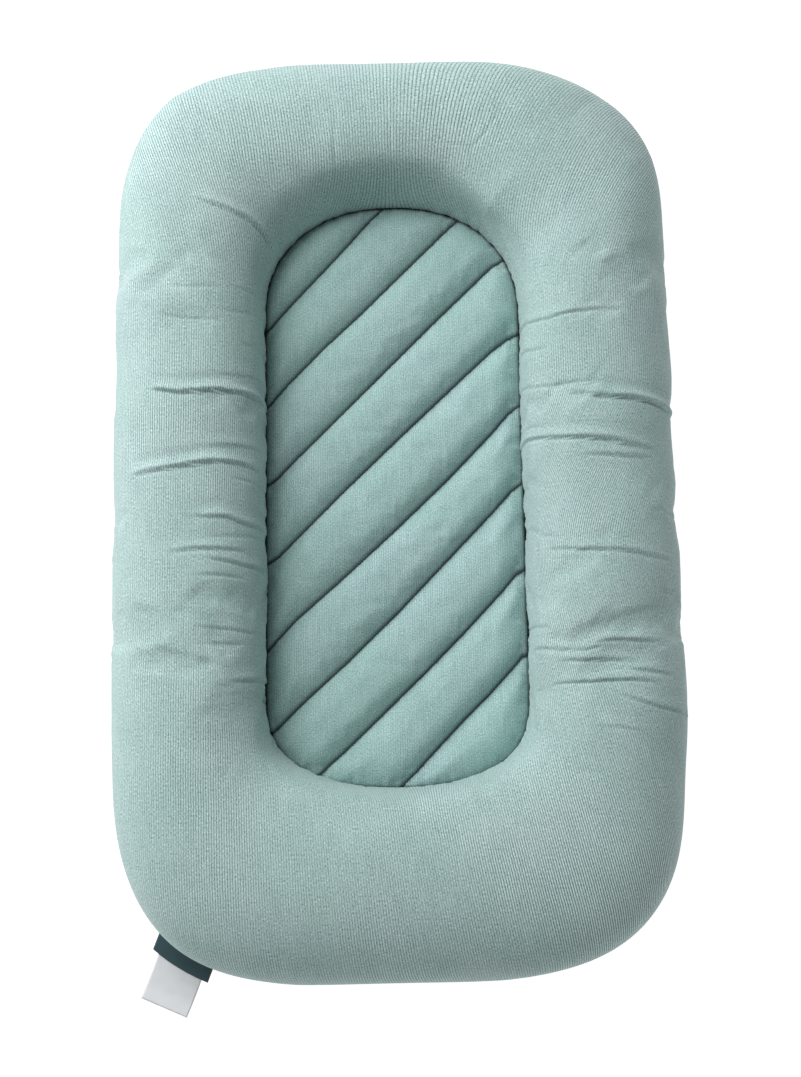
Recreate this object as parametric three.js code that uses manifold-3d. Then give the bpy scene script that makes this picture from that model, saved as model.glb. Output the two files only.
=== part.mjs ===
// Infant lounger: a stuffed ring round a sunken quilted pad, in a zipped cover over a stuffed insert.
// Millimetres, +Z up, +Y towards the head end. The origin is on the floor under the middle of the part.

import * as THREE from 'three';
import { mergeVertices } from 'three/addons/utils/BufferGeometryUtils.js';
import Module from 'manifold-3d';

const wasm = await Module();
wasm.setup();

// Overall size of the stuffed ring, without the label
const loungerWidth = 500;
const loungerLength = 836;
const ringHeight = 130;

// Widths of the ring at its sides, head end and foot end, which leave the pad in the middle
const sideRingWidth = 131;
const headRingWidth = 127;
const footRingWidth = 164;

// Plan outlines: how far each rounded end reaches along Y, and how square its corners are
const headCornerDepth = 192;
const footCornerDepth = 279;
const padHeadCornerDepth = 106;
const padFootCornerDepth = 80;
const headSquareness = 3.2;
const footSquareness = 3.8;
const padHeadSquareness = 2.2;
const padFootSquareness = 2.5;

// Ring section: shares of its width and height, and how full its curves are
const sectionCentreShare = 0.485;
const sectionReachShare = 0.515;
const sectionMiddleShare = 0.5;
const crestFullness = 2.15;
const footingFullness = 3.2;
const pressedDepth = 4;

// Sheet thicknesses and the clearances between layers
const clothThickness = 1;
const casingThickness = 0.6;
const layerGap = 0.3;
const seamGap = 0.6;
const insertClearance = 0.5;

// Heights of the seams and of the pad
const outerSeamHeight = 20;
const padSeamHeight = 45;
const quiltDepth = 7.5;

// Quilting: rows of stitches at 45 degrees, the first and last channel as shares of a whole one, and their puff
const quiltRows = 8;
const headTipShare = 0.8;
const footTipShare = 0.91;
const valleyRise = 2;
const channelRise = 10;
const channelFullness = 0.75;
const pinchReach = 30;
const quiltEdgeInset = 2.4;
const waddingClearance = 1.5;
const waddingRiseShare = 0.8;
const tipTrim = 1.5;
const threadSize = 0.9;
const threadEndMargin = 4;

// Seam bindings
const padBindingInner = 3.6;
const padBindingOuter = 1;
const outerBindingThickness = 1;
const outerBindingReach = 4;

// Underside: how high the cloth hangs under the pad, at its rim and at the zip
const undersideRimLift = 4.5;
const undersideMiddleLift = 6;
const plateauInset = 28;
const coreEdgeOverlap = 2;
const middleLineShare = 0.92;
const halvesGap = 0.3;

// Zip along the middle of the underside
const zipEndMargin = 40;
const chainEndMargin = 16;
const zipSideClearance = 1.1;
const coilSize = 2.2;
const coilSpacing = 1.2;
const tapeThickness = 0.6;
const tapeWidth = 14;
const tapeOverrun = 12;
const stopLength = 4;
const sliderLength = 11;
const sliderFlare = 1;
const sliderPlateThickness = 1;
const sliderFlangeThickness = 0.8;
const sliderPostWidth = 0.6;
const sliderPostLength = 3;
const sliderPostSetback = 0.6;
const sliderStopGap = 0.4;
const bridgeWidth = 1.6;
const bridgeLength = 8;
const bridgeThickness = 0.8;
const bridgeLegLength = 1.2;
const pullBarSize = 0.9;
const pullArmWidth = 1;
const pullArmLength = 7;
const pullTabLength = 20;
const pullTabWidth = 6.5;
const pullHoleSize = 2.4;
const cutOverrun = 1;

// Labels sewn into the outer seam at the foot end's left corner
const labelCornerShare = 0.41;
const labelWidth = 56;
const labelBandLength = 24;
const careLabelWidth = 44;
const careLabelLength = 61;
const labelThickness = 0.5;
const labelLean = 14;
const labelSlices = 6;
const labelDropShares = [0, 0.04, 0.28, 0.72, 0.94, 1];
const labelReachShares = [0, 0.1, 0.3, 0.55, 0.78, 1];

// How finely the curves are divided
const cornerSteps = 10;
const sideSteps = 4;
const coverSteps = 12;
const casingSteps = 7;
const channelSteps = 4;
const rowSteps = 12;
const coilSides = 8;
const barSides = 12;

// Angles round the ring's section, from the outer side over the crest, for the part below the seams
const lowerOuterAngles = [-48, -66, -90];
const lowerInnerAngle = -108;
const lowerInnerTurnAngle = -136;

// Values that follow from the sizes above
const halfSteps = cornerSteps + sideSteps + cornerSteps;
const loopSteps = halfSteps + halfSteps;
const quarterTurn = Math.PI / 2;
const ringMiddle = ringHeight * sectionMiddleShare;
const bindingInset = clothThickness + layerGap;
const casingInset = bindingInset + outerBindingThickness + insertClearance;
const casingInnerInset = casingInset + casingThickness;
const fillInset = casingInnerInset + layerGap;
const casingFloor = clothThickness + layerGap;
const casingInnerFloor = casingFloor + casingThickness;
const fillFloor = casingInnerFloor + layerGap;
const backingHeight = padSeamHeight - quiltDepth;
const casingTopHeight = backingHeight - layerGap;
const coreTopHeight = casingTopHeight - casingThickness - layerGap;
const waddingBaseHeight = backingHeight + clothThickness + layerGap;
const waddingEdgeInset = padBindingInner + seamGap;

const outerLoop = {
  halfWidth: loungerWidth / 2,
  headEnd: loungerLength / 2,
  footEnd: -loungerLength / 2,
  headDepth: headCornerDepth,
  footDepth: footCornerDepth,
  headPower: headSquareness,
  footPower: footSquareness,
};

const padLoop = {
  halfWidth: loungerWidth / 2 - sideRingWidth,
  headEnd: loungerLength / 2 - headRingWidth,
  footEnd: footRingWidth - loungerLength / 2,
  headDepth: padHeadCornerDepth,
  footDepth: padFootCornerDepth,
  headPower: padHeadSquareness,
  footPower: padFootSquareness,
};

const padMiddle = new THREE.Vector2(0, (padLoop.headEnd + padLoop.footEnd) / 2);
const zipOpeningHalfLength = (padLoop.headEnd - padLoop.footEnd) / 2 - zipEndMargin;
const chainHalfLength = zipOpeningHalfLength - chainEndMargin;
const flangeInner = coilSpacing / 2 + coilSize + layerGap;
const flangeOuter = flangeInner + sliderFlangeThickness;
const zipOpeningHalf = flangeOuter + zipSideClearance;

// Materials
const knit = { color: 0x93b1ad, roughness: 0.95, metalness: 0 };
const quilting = { color: 0x98b7b1, roughness: 0.95, metalness: 0 };
const thread = { color: 0x6f8f8c, roughness: 0.7, metalness: 0 };
const binding = { color: 0x86a5a1, roughness: 0.9, metalness: 0 };
const lining = { color: 0xa9c0bc, roughness: 0.9, metalness: 0 };
const whiteCloth = { color: 0xeceae4, roughness: 0.9, metalness: 0 };
const fibre = { color: 0xf6f5f0, roughness: 1, metalness: 0 };
const nylon = { color: 0x7d9c98, roughness: 0.45, metalness: 0 };
const nickel = { color: 0xb9bcbd, roughness: 0.3, metalness: 1 };
const darkSatin = { color: 0x2a464d, roughness: 0.55, metalness: 0 };
const whiteSatin = { color: 0xf1f1ec, roughness: 0.45, metalness: 0 };

const lounger = new THREE.Group();
lounger.name = 'infant_lounger';

// A power that keeps the sign, for superellipses
function signedPower(value, power) {
  return Math.sign(value) * Math.abs(value) ** power;
}

// A point on one rounded corner of a plan outline, from the side at 0 to the end at a quarter turn
function cornerPoint(halfWidth, depth, squareness, angle) {
  const x = halfWidth * signedPower(Math.cos(angle), 2 / squareness);
  const y = depth * signedPower(Math.sin(angle), 2 / squareness);
  return new THREE.Vector2(x, y);
}

// A point on the right half of an outline, from the middle of the foot end up to the head end
function halfLoopPoint(loop, step) {
  const footCorner = loop.footEnd + loop.footDepth;
  const headCorner = loop.headEnd - loop.headDepth;
  if (step < cornerSteps) {
    const angle = quarterTurn * (1 - step / cornerSteps);
    const point = cornerPoint(loop.halfWidth, loop.footDepth, loop.footPower, angle);
    return new THREE.Vector2(point.x, footCorner - point.y);
  }
  if (step <= cornerSteps + sideSteps) {
    const share = (step - cornerSteps) / sideSteps;
    return new THREE.Vector2(loop.halfWidth, THREE.MathUtils.lerp(footCorner, headCorner, share));
  }
  const angle = quarterTurn * ((step - cornerSteps - sideSteps) / cornerSteps);
  const point = cornerPoint(loop.halfWidth, loop.headDepth, loop.headPower, angle);
  return new THREE.Vector2(point.x, headCorner + point.y);
}

// A station: where the pad's edge is, which way the ring lies from it, and how wide the ring is
function stationAt(step) {
  const mirrored = step > halfSteps;
  const halfStep = mirrored ? loopSteps - step : step;
  const inner = halfLoopPoint(padLoop, halfStep);
  const outer = halfLoopPoint(outerLoop, halfStep);
  if (mirrored) {
    inner.x = -inner.x;
    outer.x = -outer.x;
  }
  const way = outer.clone().sub(inner);
  const width = way.length();
  return { inner, way: way.normalize(), width };
}

const stations = Array.from({ length: loopSteps }, (_, step) => stationAt(step));
const rightStations = Array.from({ length: halfSteps + 1 }, (_, step) => stationAt(step));

// A point of a section, at a distance from the pad's edge and a height
function place(station, out, height) {
  const x = station.inner.x + station.way.x * out;
  const y = station.inner.y + station.way.y * out;
  return new THREE.Vector3(x, y, height);
}

// A point of the ring's skin, at an angle round its section and an inset from the cover's outer face
function skinPoint(station, degrees, inset, floor) {
  const angle = THREE.MathUtils.degToRad(degrees);
  const cosine = Math.cos(angle);
  const sine = Math.sin(angle);
  const full = sine < 0 && cosine > 0 ? footingFullness : crestFullness;
  const rise = sine < 0 ? ringMiddle + pressedDepth : ringHeight - ringMiddle;
  const reach = station.width * sectionReachShare - inset;
  const out = station.width * sectionCentreShare + reach * signedPower(cosine, 2 / full);
  const height = ringMiddle + (rise - inset) * signedPower(sine, 2 / full);
  return place(station, out, Math.max(height, floor));
}

// The section angle at which a skin comes down to a height, on its outer or inner side
function angleAtHeight(height, inset, outerSide) {
  const full = outerSide ? footingFullness : crestFullness;
  const drop = (ringMiddle - height) / (ringMiddle + pressedDepth - inset);
  const angle = THREE.MathUtils.radToDeg(Math.asin(drop ** (full / 2)));
  return outerSide ? -angle : angle + THREE.MathUtils.radToDeg(Math.PI);
}

// Evenly spaced values from one number to another, both included
function spread(from, to, steps) {
  return Array.from({ length: steps + 1 }, (_, index) => THREE.MathUtils.lerp(from, to, index / steps));
}

// Six times the volume that the triangles enclose, positive where they face out
function signedVolume(positions, indices) {
  const corners = [new THREE.Vector3(), new THREE.Vector3(), new THREE.Vector3()];
  let volume = 0;
  for (let start = 0; start < indices.length; start += corners.length) {
    corners.forEach((corner, offset) => corner.fromArray(positions, indices[start + offset] * 3));
    volume += corners[0].dot(corners[1].cross(corners[2]));
  }
  return volume;
}

// A geometry from points and triangles, turned so that its faces point out
function closedGeometry(points, triangles) {
  const positions = points.flatMap((point) => [point.x, point.y, point.z]);
  const outward = signedVolume(positions, triangles.flat()) > 0;
  const indices = triangles.flatMap(([a, b, c]) => (outward ? [a, b, c] : [a, c, b]));
  const geometry = new THREE.BufferGeometry();
  geometry.setAttribute('position', new THREE.Float32BufferAttribute(positions, 3));
  geometry.setIndex(indices);
  geometry.computeVertexNormals();
  return geometry;
}

// Joins closed sections of equal length into one body, round a loop or with a lid on each end
function loft(sections, round) {
  const size = sections[0].length;
  const triangles = [];
  const joints = round ? sections.length : sections.length - 1;
  for (let row = 0; row < joints; row += 1) {
    const here = row * size;
    const next = ((row + 1) % sections.length) * size;
    for (let index = 0; index < size; index += 1) {
      const after = (index + 1) % size;
      triangles.push([here + index, here + after, next + after], [here + index, next + after, next + index]);
    }
  }
  if (!round) {
    addLid(triangles, 0, size, false);
    addLid(triangles, (sections.length - 1) * size, size, true);
  }
  return closedGeometry(sections.flat(), triangles);
}

// A lid over a section whose point i lies opposite its point size - 1 - i
function addLid(triangles, start, size, reversed) {
  for (let low = 0; low < size / 2 - 1; low += 1) {
    const high = size - 1 - low;
    const halves = [[low, high, high - 1], [low, high - 1, low + 1]];
    halves.forEach(([a, b, c]) => {
      triangles.push(reversed ? [start + a, start + c, start + b] : [start + a, start + b, start + c]);
    });
  }
}

// Joins open paths round a loop, with their first and last ends closed to two middle points
function domedLoft(paths, firstMiddle, lastMiddle) {
  const size = paths[0].length;
  const first = paths.length * size;
  const triangles = [];
  paths.forEach((_, row) => {
    const here = row * size;
    const next = ((row + 1) % paths.length) * size;
    triangles.push([first, here, next], [first + 1, next + size - 1, here + size - 1]);
    for (let index = 0; index < size - 1; index += 1) {
      const after = index + 1;
      triangles.push([here + index, here + after, next + after], [here + index, next + after, next + index]);
    }
  });
  return closedGeometry([...paths.flat(), firstMiddle, lastMiddle], triangles);
}

function addPart(name, geometry, finish, parent = lounger) {
  const part = new THREE.Mesh(geometry, new THREE.MeshStandardMaterial(finish));
  part.name = name;
  parent.add(part);
  return part;
}

// A solid for cutting and joining, from a closed geometry
function toSolid(geometry) {
  const bare = geometry.clone();
  bare.deleteAttribute('normal');
  bare.deleteAttribute('uv');
  const merged = mergeVertices(bare);
  const vertProperties = new Float32Array(merged.getAttribute('position').array);
  const triVerts = new Uint32Array(merged.getIndex().array);
  return new wasm.Manifold(new wasm.Mesh({ numProp: 3, vertProperties, triVerts }));
}

function fromSolid(solid) {
  const mesh = solid.getMesh();
  const geometry = new THREE.BufferGeometry();
  geometry.setAttribute('position', new THREE.BufferAttribute(mesh.vertProperties, 3));
  geometry.setIndex(new THREE.BufferAttribute(mesh.triVerts, 1));
  geometry.computeVertexNormals();
  return geometry;
}

// A box between two corners
function boxBetween(low, high) {
  const size = new THREE.Vector3().subVectors(high, low);
  const middle = new THREE.Vector3().addVectors(low, high).multiplyScalar(1 / 2);
  return new THREE.BoxGeometry(size.x, size.y, size.z).translate(middle.x, middle.y, middle.z);
}

// An outline drawn in plan, as a plate between two heights
function plate(shape, bottom, top) {
  const geometry = new THREE.ExtrudeGeometry(shape, { depth: top - bottom, bevelEnabled: false });
  return geometry.translate(0, 0, bottom);
}

// Top and sides of the ring, one sheet of ribbed knit from the pad's seam to the outer seam
function addSurroundCover() {
  const lowest = outerSeamHeight + seamGap / 2;
  const inmost = padSeamHeight - clothThickness;
  const from = angleAtHeight(lowest, 0, true);
  const to = angleAtHeight(inmost, 0, false);
  const sections = stations.map((station) => {
    const outerFace = spread(from, to, coverSteps).map((angle) => skinPoint(station, angle, 0, 0));
    const innerFace = spread(to, from, coverSteps).map((angle) => skinPoint(station, angle, clothThickness, 0));
    return [...outerFace, ...innerFace];
  });
  addPart('surround_cover', loft(sections, true), knit);
}

// Rows and columns of the quilt lie along and across its 45 degree stitch rows
const alongRow = new THREE.Vector2(1, 1).normalize();
const acrossRow = new THREE.Vector2(1, -1).normalize();

// The pad's outline drawn in by an inset
function padOutline(inset) {
  return stations.map((station) => station.inner.clone().addScaledVector(station.way, -inset));
}

// Distances along a straight line at which it crosses an outline
function lineCrossings(outline, from, way) {
  const beside = new THREE.Vector2(-way.y, way.x);
  const crossings = [];
  outline.forEach((point, index) => {
    const next = outline[(index + 1) % outline.length];
    const here = point.clone().sub(from).dot(beside);
    const there = next.clone().sub(from).dot(beside);
    if (here * there <= 0 && here !== there) {
      crossings.push(point.clone().lerp(next, here / (here - there)).sub(from).dot(way));
    }
  });
  return crossings;
}

// Distance from a place on the pad to its outline
function edgeDistance(outline, point) {
  const closest = new THREE.Vector3();
  const spot = new THREE.Vector3(point.x, point.y, 0);
  const distances = outline.map((corner, index) => {
    const next = outline[(index + 1) % outline.length];
    const side = new THREE.Line3(new THREE.Vector3(corner.x, corner.y, 0), new THREE.Vector3(next.x, next.y, 0));
    side.closestPointToPoint(spot, true, closest);
    return closest.distanceTo(spot);
  });
  return Math.min(...distances);
}

// Where the quilt starts and ends across its rows, a little inside its tips
const quiltOutline = padOutline(quiltEdgeInset);
const quiltAcross = quiltOutline.map((point) => point.dot(acrossRow));
const quiltStart = Math.min(...quiltAcross) + tipTrim;
const quiltEnd = Math.max(...quiltAcross) - tipTrim;

// Places of the stitch rows across the pad, evenly spaced
const quiltPitch = (quiltEnd - quiltStart) / (quiltRows - 1 + headTipShare + footTipShare);
const firstRowPlace = quiltStart + quiltPitch * headTipShare;
const lastRowPlace = quiltEnd - quiltPitch * footTipShare;
const rowPlaces = spread(firstRowPlace, lastRowPlace, quiltRows - 1);

// Places across the quilt of all its cross sections, several to a channel, with the stitch rows among them
function quiltPlaces() {
  const borders = [quiltStart, ...rowPlaces, quiltEnd];
  const inside = borders.slice(1).flatMap((border, index) => spread(borders[index], border, channelSteps).slice(1));
  return [quiltStart, ...inside];
}

// Height of the quilt's top above the pad's seam: pinched down at the outline and at each stitch row
function quiltRise(point) {
  const phase = (point.dot(acrossRow) - firstRowPlace) / quiltPitch;
  const puff = Math.abs(Math.sin(Math.PI * phase)) ** channelFullness;
  const inward = Math.min(1, edgeDistance(quiltOutline, point) / pinchReach);
  const pinch = 1 - (1 - inward) ** 2;
  return pinch * (valleyRise + channelRise * puff);
}

// Points along one row, closer together near its ends
function rowPoints(outline, across, margin) {
  const from = acrossRow.clone().multiplyScalar(across);
  const crossings = lineCrossings(outline, from, alongRow);
  const start = Math.min(...crossings) + margin;
  const end = Math.max(...crossings) - margin;
  return spread(-quarterTurn, quarterTurn, rowSteps).map((angle) => {
    const along = (start + end) / 2 + ((end - start) / 2) * Math.sin(angle);
    return from.clone().addScaledVector(alongRow, along);
  });
}

function raised(point, height) {
  return new THREE.Vector3(point.x, point.y, height);
}

// Quilted top cloth of the pad, with its puffed channels
function addQuiltedFace() {
  const sections = quiltPlaces().map((across) => {
    const points = rowPoints(quiltOutline, across, 0);
    const top = points.map((point) => raised(point, padSeamHeight + quiltRise(point)));
    const bottom = top.map((point) => raised(point, point.z - clothThickness)).reverse();
    return [...top, ...bottom];
  });
  addPart('quilted_face', loft(sections, false), quilting);
}

// Wadding under the quilted face, flat below
function addQuiltWadding() {
  const outline = padOutline(waddingEdgeInset);
  const level = padSeamHeight - clothThickness - waddingClearance;
  const sections = quiltPlaces().slice(1, -1).map((across) => {
    const points = rowPoints(outline, across, 0);
    const top = points.map((point) => raised(point, level + quiltRise(point) * waddingRiseShare));
    const bottom = points.map((point) => raised(point, waddingBaseHeight)).reverse();
    return [...top, ...bottom];
  });
  addPart('quilt_wadding', loft(sections, false), fibre);
}

// Flat sheet inside the pad's outline
function padSheet(inset, bottom, top) {
  const paths = stations.map((station) => [place(station, -inset, top), place(station, -inset, bottom)]);
  return domedLoft(paths, raised(padMiddle, top), raised(padMiddle, bottom));
}

function addQuiltBacking() {
  addPart('quilt_backing', padSheet(waddingEdgeInset, backingHeight, backingHeight + clothThickness), lining);
}

// One sewn thread along each valley between two channels
function addQuiltStitches() {
  const half = threadSize / 2;
  rowPlaces.forEach((across, index) => {
    const sections = rowPoints(quiltOutline, across, threadEndMargin).map((point) => {
      const height = padSeamHeight + quiltRise(point) + layerGap + half;
      const left = point.clone().addScaledVector(acrossRow, -half);
      const right = point.clone().addScaledVector(acrossRow, half);
      return [raised(left, height), raised(point, height + half), raised(right, height), raised(point, height - half)];
    });
    addPart(`quilt_stitch_${index + 1}`, loft(sections, false), thread);
  });
}

// Bound seam allowance where the quilt joins the ring's cover
function addPadSeamBinding() {
  const top = padSeamHeight - clothThickness - layerGap;
  const bottom = waddingBaseHeight;
  const sections = stations.map((station) => [
    place(station, -padBindingInner, top),
    place(station, -padBindingOuter, top),
    place(station, -padBindingOuter, bottom),
    place(station, -padBindingInner, bottom),
  ]);
  addPart('pad_seam_binding', loft(sections, true), binding);
}

// Bound seam allowance inside the outer seam, along the cover above it and the underside below it
function addOuterSeamBinding() {
  const seamAngle = angleAtHeight(outerSeamHeight, 0, true);
  const coverSpan = angleAtHeight(padSeamHeight - clothThickness, 0, false) - seamAngle;
  const coverAngle = seamAngle + coverSpan / coverSteps;
  const side = (station, inset) => {
    const seam = skinPoint(station, seamAngle, inset, 0);
    const above = skinPoint(station, coverAngle, inset, 0).sub(seam);
    const below = skinPoint(station, lowerOuterAngles[0], inset, 0).sub(seam);
    const upper = seam.clone().addScaledVector(above.normalize(), outerBindingReach);
    const lower = seam.clone().addScaledVector(below.normalize(), outerBindingReach);
    return [upper, seam, lower];
  };
  const sections = stations.map((station) => {
    const outside = side(station, bindingInset);
    const inside = side(station, bindingInset + outerBindingThickness).reverse();
    return [...outside, ...inside];
  });
  addPart('outer_seam_binding', loft(sections, true), binding);
}

// Where the underside's half ends, at the zip or at the middle seam beyond the zip
function middleLinePoint(station, height) {
  const along = (station.inner.y - padMiddle.y) * middleLineShare;
  const beside = Math.abs(along) < zipOpeningHalfLength;
  return new THREE.Vector3(beside ? zipOpeningHalf : halvesGap / 2, padMiddle.y + along, height);
}

// One face of the underside's right half, from the outer seam to the middle line
function undersideFace(station, seamAngle, level) {
  const angles = [seamAngle, ...lowerOuterAngles, lowerInnerAngle];
  const points = angles.map((angle) => skinPoint(station, angle, level, level));
  points.push(place(station, 0, undersideRimLift + level));
  points.push(middleLinePoint(station, undersideMiddleLift + level));
  return points.map((point) => new THREE.Vector3(Math.max(point.x, halvesGap / 2), point.y, point.z));
}

// The two halves of the underside, with the zip between them
function addUnderside() {
  const seamAngle = angleAtHeight(outerSeamHeight - seamGap / 2, 0, true);
  const sections = rightStations.map((station) => {
    const lower = undersideFace(station, seamAngle, 0);
    const upper = undersideFace(station, seamAngle, clothThickness).reverse();
    return [...lower, ...upper];
  });
  const right = loft(sections, false);
  const mirror = (point) => new THREE.Vector3(-point.x, point.y, point.z);
  const left = loft(sections.map((section) => section.map(mirror)), false);
  addPart('underside_right', right, lining);
  addPart('underside_left', left, lining);
}

// Heights through the zip, from the tape down to the pull
const tapeBottom = undersideMiddleLift + clothThickness + layerGap;
const tapeTop = tapeBottom + tapeThickness;
const coilTop = tapeBottom - layerGap;
const coilBottom = coilTop - coilSize;
const innerPlateBottom = tapeTop + layerGap;
const outerPlateTop = coilBottom - layerGap;
const outerPlateBottom = outerPlateTop - sliderPlateThickness;
const tunnelHeight = pullBarSize + layerGap + layerGap;
const bridgeTop = outerPlateBottom - tunnelHeight;
const pullAxisHeight = outerPlateBottom - tunnelHeight / 2;
const sliderRestY = chainHalfLength - sliderStopGap - sliderLength / 2;

// Height of the insert's underside under the pad, at the pad's rim and over the zip
function insertBelly(station, level) {
  const plateau = innerPlateBottom + sliderPlateThickness + layerGap + level - casingFloor;
  return [place(station, -plateauInset, plateau), place(station, 0, undersideRimLift + level)];
}

// Upper casing of the insert: over the ring and flat across the pad's core
function addCasingTop() {
  const face = (inset, seam, crown) => {
    const from = angleAtHeight(crown, inset, false);
    const to = angleAtHeight(seam, inset, true);
    return spread(from, to, casingSteps);
  };
  const seam = outerSeamHeight + seamGap / 2;
  const under = casingTopHeight - casingThickness;
  const outerAngles = face(casingInset, seam, casingTopHeight);
  const innerAngles = face(casingInnerInset, seam, under).reverse();
  const paths = stations.map((station) => [
    ...outerAngles.map((angle) => skinPoint(station, angle, casingInset, 0)),
    ...innerAngles.map((angle) => skinPoint(station, angle, casingInnerInset, 0)),
  ]);
  const geometry = domedLoft(paths, raised(padMiddle, casingTopHeight), raised(padMiddle, under));
  addPart('casing_top', geometry, whiteCloth);
}

// Lower casing of the insert, from the outer seam over the floor to the rise above the zip
function addCasingBottom() {
  const seam = outerSeamHeight - seamGap / 2;
  const face = (station, inset, floor) => {
    const angles = [lowerInnerAngle, ...lowerOuterAngles.toReversed(), angleAtHeight(seam, inset, true)];
    return [...insertBelly(station, floor), ...angles.map((angle) => skinPoint(station, angle, inset, floor))];
  };
  const paths = stations.map((station) => {
    const upper = face(station, casingInnerInset, casingInnerFloor);
    const lower = face(station, casingInset, casingFloor).reverse();
    return [...upper, ...lower];
  });
  const plateau = insertBelly(stations[0], casingFloor)[0].z;
  const above = raised(padMiddle, plateau + casingThickness);
  addPart('casing_bottom', domedLoft(paths, above, raised(padMiddle, plateau)), whiteCloth);
}

// Fibre fill of the ring, one stuffed roll
function addRingFill() {
  const from = angleAtHeight(outerSeamHeight, fillInset, true);
  const to = angleAtHeight(coreTopHeight, fillInset, false);
  const upper = spread(from, to, casingSteps);
  const lower = [lowerInnerTurnAngle, lowerInnerAngle, ...lowerOuterAngles.toReversed()];
  const sections = stations.map((station) => {
    return [...upper, ...lower].map((angle) => skinPoint(station, angle, fillInset, fillFloor));
  });
  addPart('ring_fill', loft(sections, true), fibre);
}

// Core of the pad, under the quilt
function addPadCore() {
  const level = casingInnerFloor + layerGap;
  const paths = stations.map((station) => {
    const [plateau, rim] = insertBelly(station, level);
    const edge = [place(station, coreEdgeOverlap, coreTopHeight), place(station, coreEdgeOverlap, rim.z)];
    return [...edge, plateau];
  });
  const plateauHeight = paths[0][2].z;
  const geometry = domedLoft(paths, raised(padMiddle, coreTopHeight), raised(padMiddle, plateauHeight));
  addPart('pad_core', geometry, fibre);
}

// Tape, coil and top stop of one side of the zip
function addZipSide(side, name, zip) {
  const edge = coilSpacing / 2;
  const tapeLength = chainHalfLength + tapeOverrun;
  const tapeNear = new THREE.Vector3(side * edge, -tapeLength, tapeBottom);
  const tapeFar = new THREE.Vector3(side * (edge + tapeWidth), tapeLength, tapeTop);
  const low = tapeNear.clone().min(tapeFar);
  const high = tapeNear.clone().max(tapeFar);
  addPart(`zip_tape_${name}`, boxBetween(low, high), lining, zip);

  const radius = coilSize / 2 / Math.cos(Math.PI / coilSides);
  const coil = new THREE.CylinderGeometry(radius, radius, chainHalfLength + chainHalfLength, coilSides);
  coil.rotateY(Math.PI / coilSides);
  coil.translate(side * (edge + coilSize / 2), 0, (coilTop + coilBottom) / 2);
  addPart(`zip_coil_${name}`, coil, nylon, zip);

  const stopStart = chainHalfLength + layerGap;
  const stopNear = new THREE.Vector3(side * edge, stopStart, coilBottom);
  const stopFar = new THREE.Vector3(side * (edge + coilSize), stopStart + stopLength, coilTop);
  const stop = boxBetween(stopNear.clone().min(stopFar), stopNear.clone().max(stopFar));
  addPart(`zip_top_stop_${name}`, stop, nickel, zip);
}

function addZipBottomStop(zip) {
  const reach = coilSpacing / 2 + coilSize;
  const start = -chainHalfLength - layerGap - stopLength;
  const low = new THREE.Vector3(-reach, start, coilBottom);
  const high = new THREE.Vector3(reach, start + stopLength, coilTop);
  addPart('zip_bottom_stop', boxBetween(low, high), nickel, zip);
}

// Slider outline in plan, wider at the head end, with its corners cut
function sliderShape() {
  const half = sliderLength / 2;
  const corner = sliderFlare / 2;
  const back = flangeOuter;
  const front = back + corner;
  const shape = new THREE.Shape();
  shape.moveTo(-back, -half + corner);
  shape.lineTo(-back + corner, -half);
  shape.lineTo(back - corner, -half);
  shape.lineTo(back, -half + corner);
  shape.lineTo(front, half - corner);
  shape.lineTo(back, half);
  shape.lineTo(-back, half);
  shape.lineTo(-front, half - corner);
  return shape;
}

// Slider: two plates joined by a post between the coils, side flanges, and a bridge for the pull
function addZipSlider(carriage) {
  const half = sliderLength / 2;
  const outerPlate = toSolid(plate(sliderShape(), outerPlateBottom, outerPlateTop));
  const innerPlate = toSolid(plate(sliderShape(), innerPlateBottom, innerPlateBottom + sliderPlateThickness));
  const postFront = half - sliderPostSetback;
  const post = toSolid(boxBetween(
    new THREE.Vector3(-sliderPostWidth / 2, postFront - sliderPostLength, outerPlateBottom),
    new THREE.Vector3(sliderPostWidth / 2, postFront, innerPlateBottom + sliderPlateThickness),
  ));
  const flangeSpan = half - sliderPlateThickness;
  const flanges = [-1, 1].map((side) => {
    const near = new THREE.Vector3(side * flangeInner, -flangeSpan, outerPlateBottom);
    const far = new THREE.Vector3(side * flangeOuter, flangeSpan, coilTop - layerGap);
    return toSolid(boxBetween(near.clone().min(far), near.clone().max(far)));
  });
  const bridge = toSolid(boxBetween(
    new THREE.Vector3(-bridgeWidth / 2, -bridgeLength / 2, bridgeTop - bridgeThickness),
    new THREE.Vector3(bridgeWidth / 2, bridgeLength / 2, outerPlateTop),
  ));
  const tunnel = toSolid(boxBetween(
    new THREE.Vector3(-bridgeWidth, bridgeLegLength - bridgeLength / 2, bridgeTop),
    new THREE.Vector3(bridgeWidth, bridgeLength / 2 - bridgeLegLength, outerPlateBottom),
  ));
  const body = [post, ...flanges, bridge.subtract(tunnel)].reduce((sum, piece) => sum.add(piece), outerPlate);
  addPart('zip_slider', fromSolid(body.add(innerPlate)), nickel, carriage);
}

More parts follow.
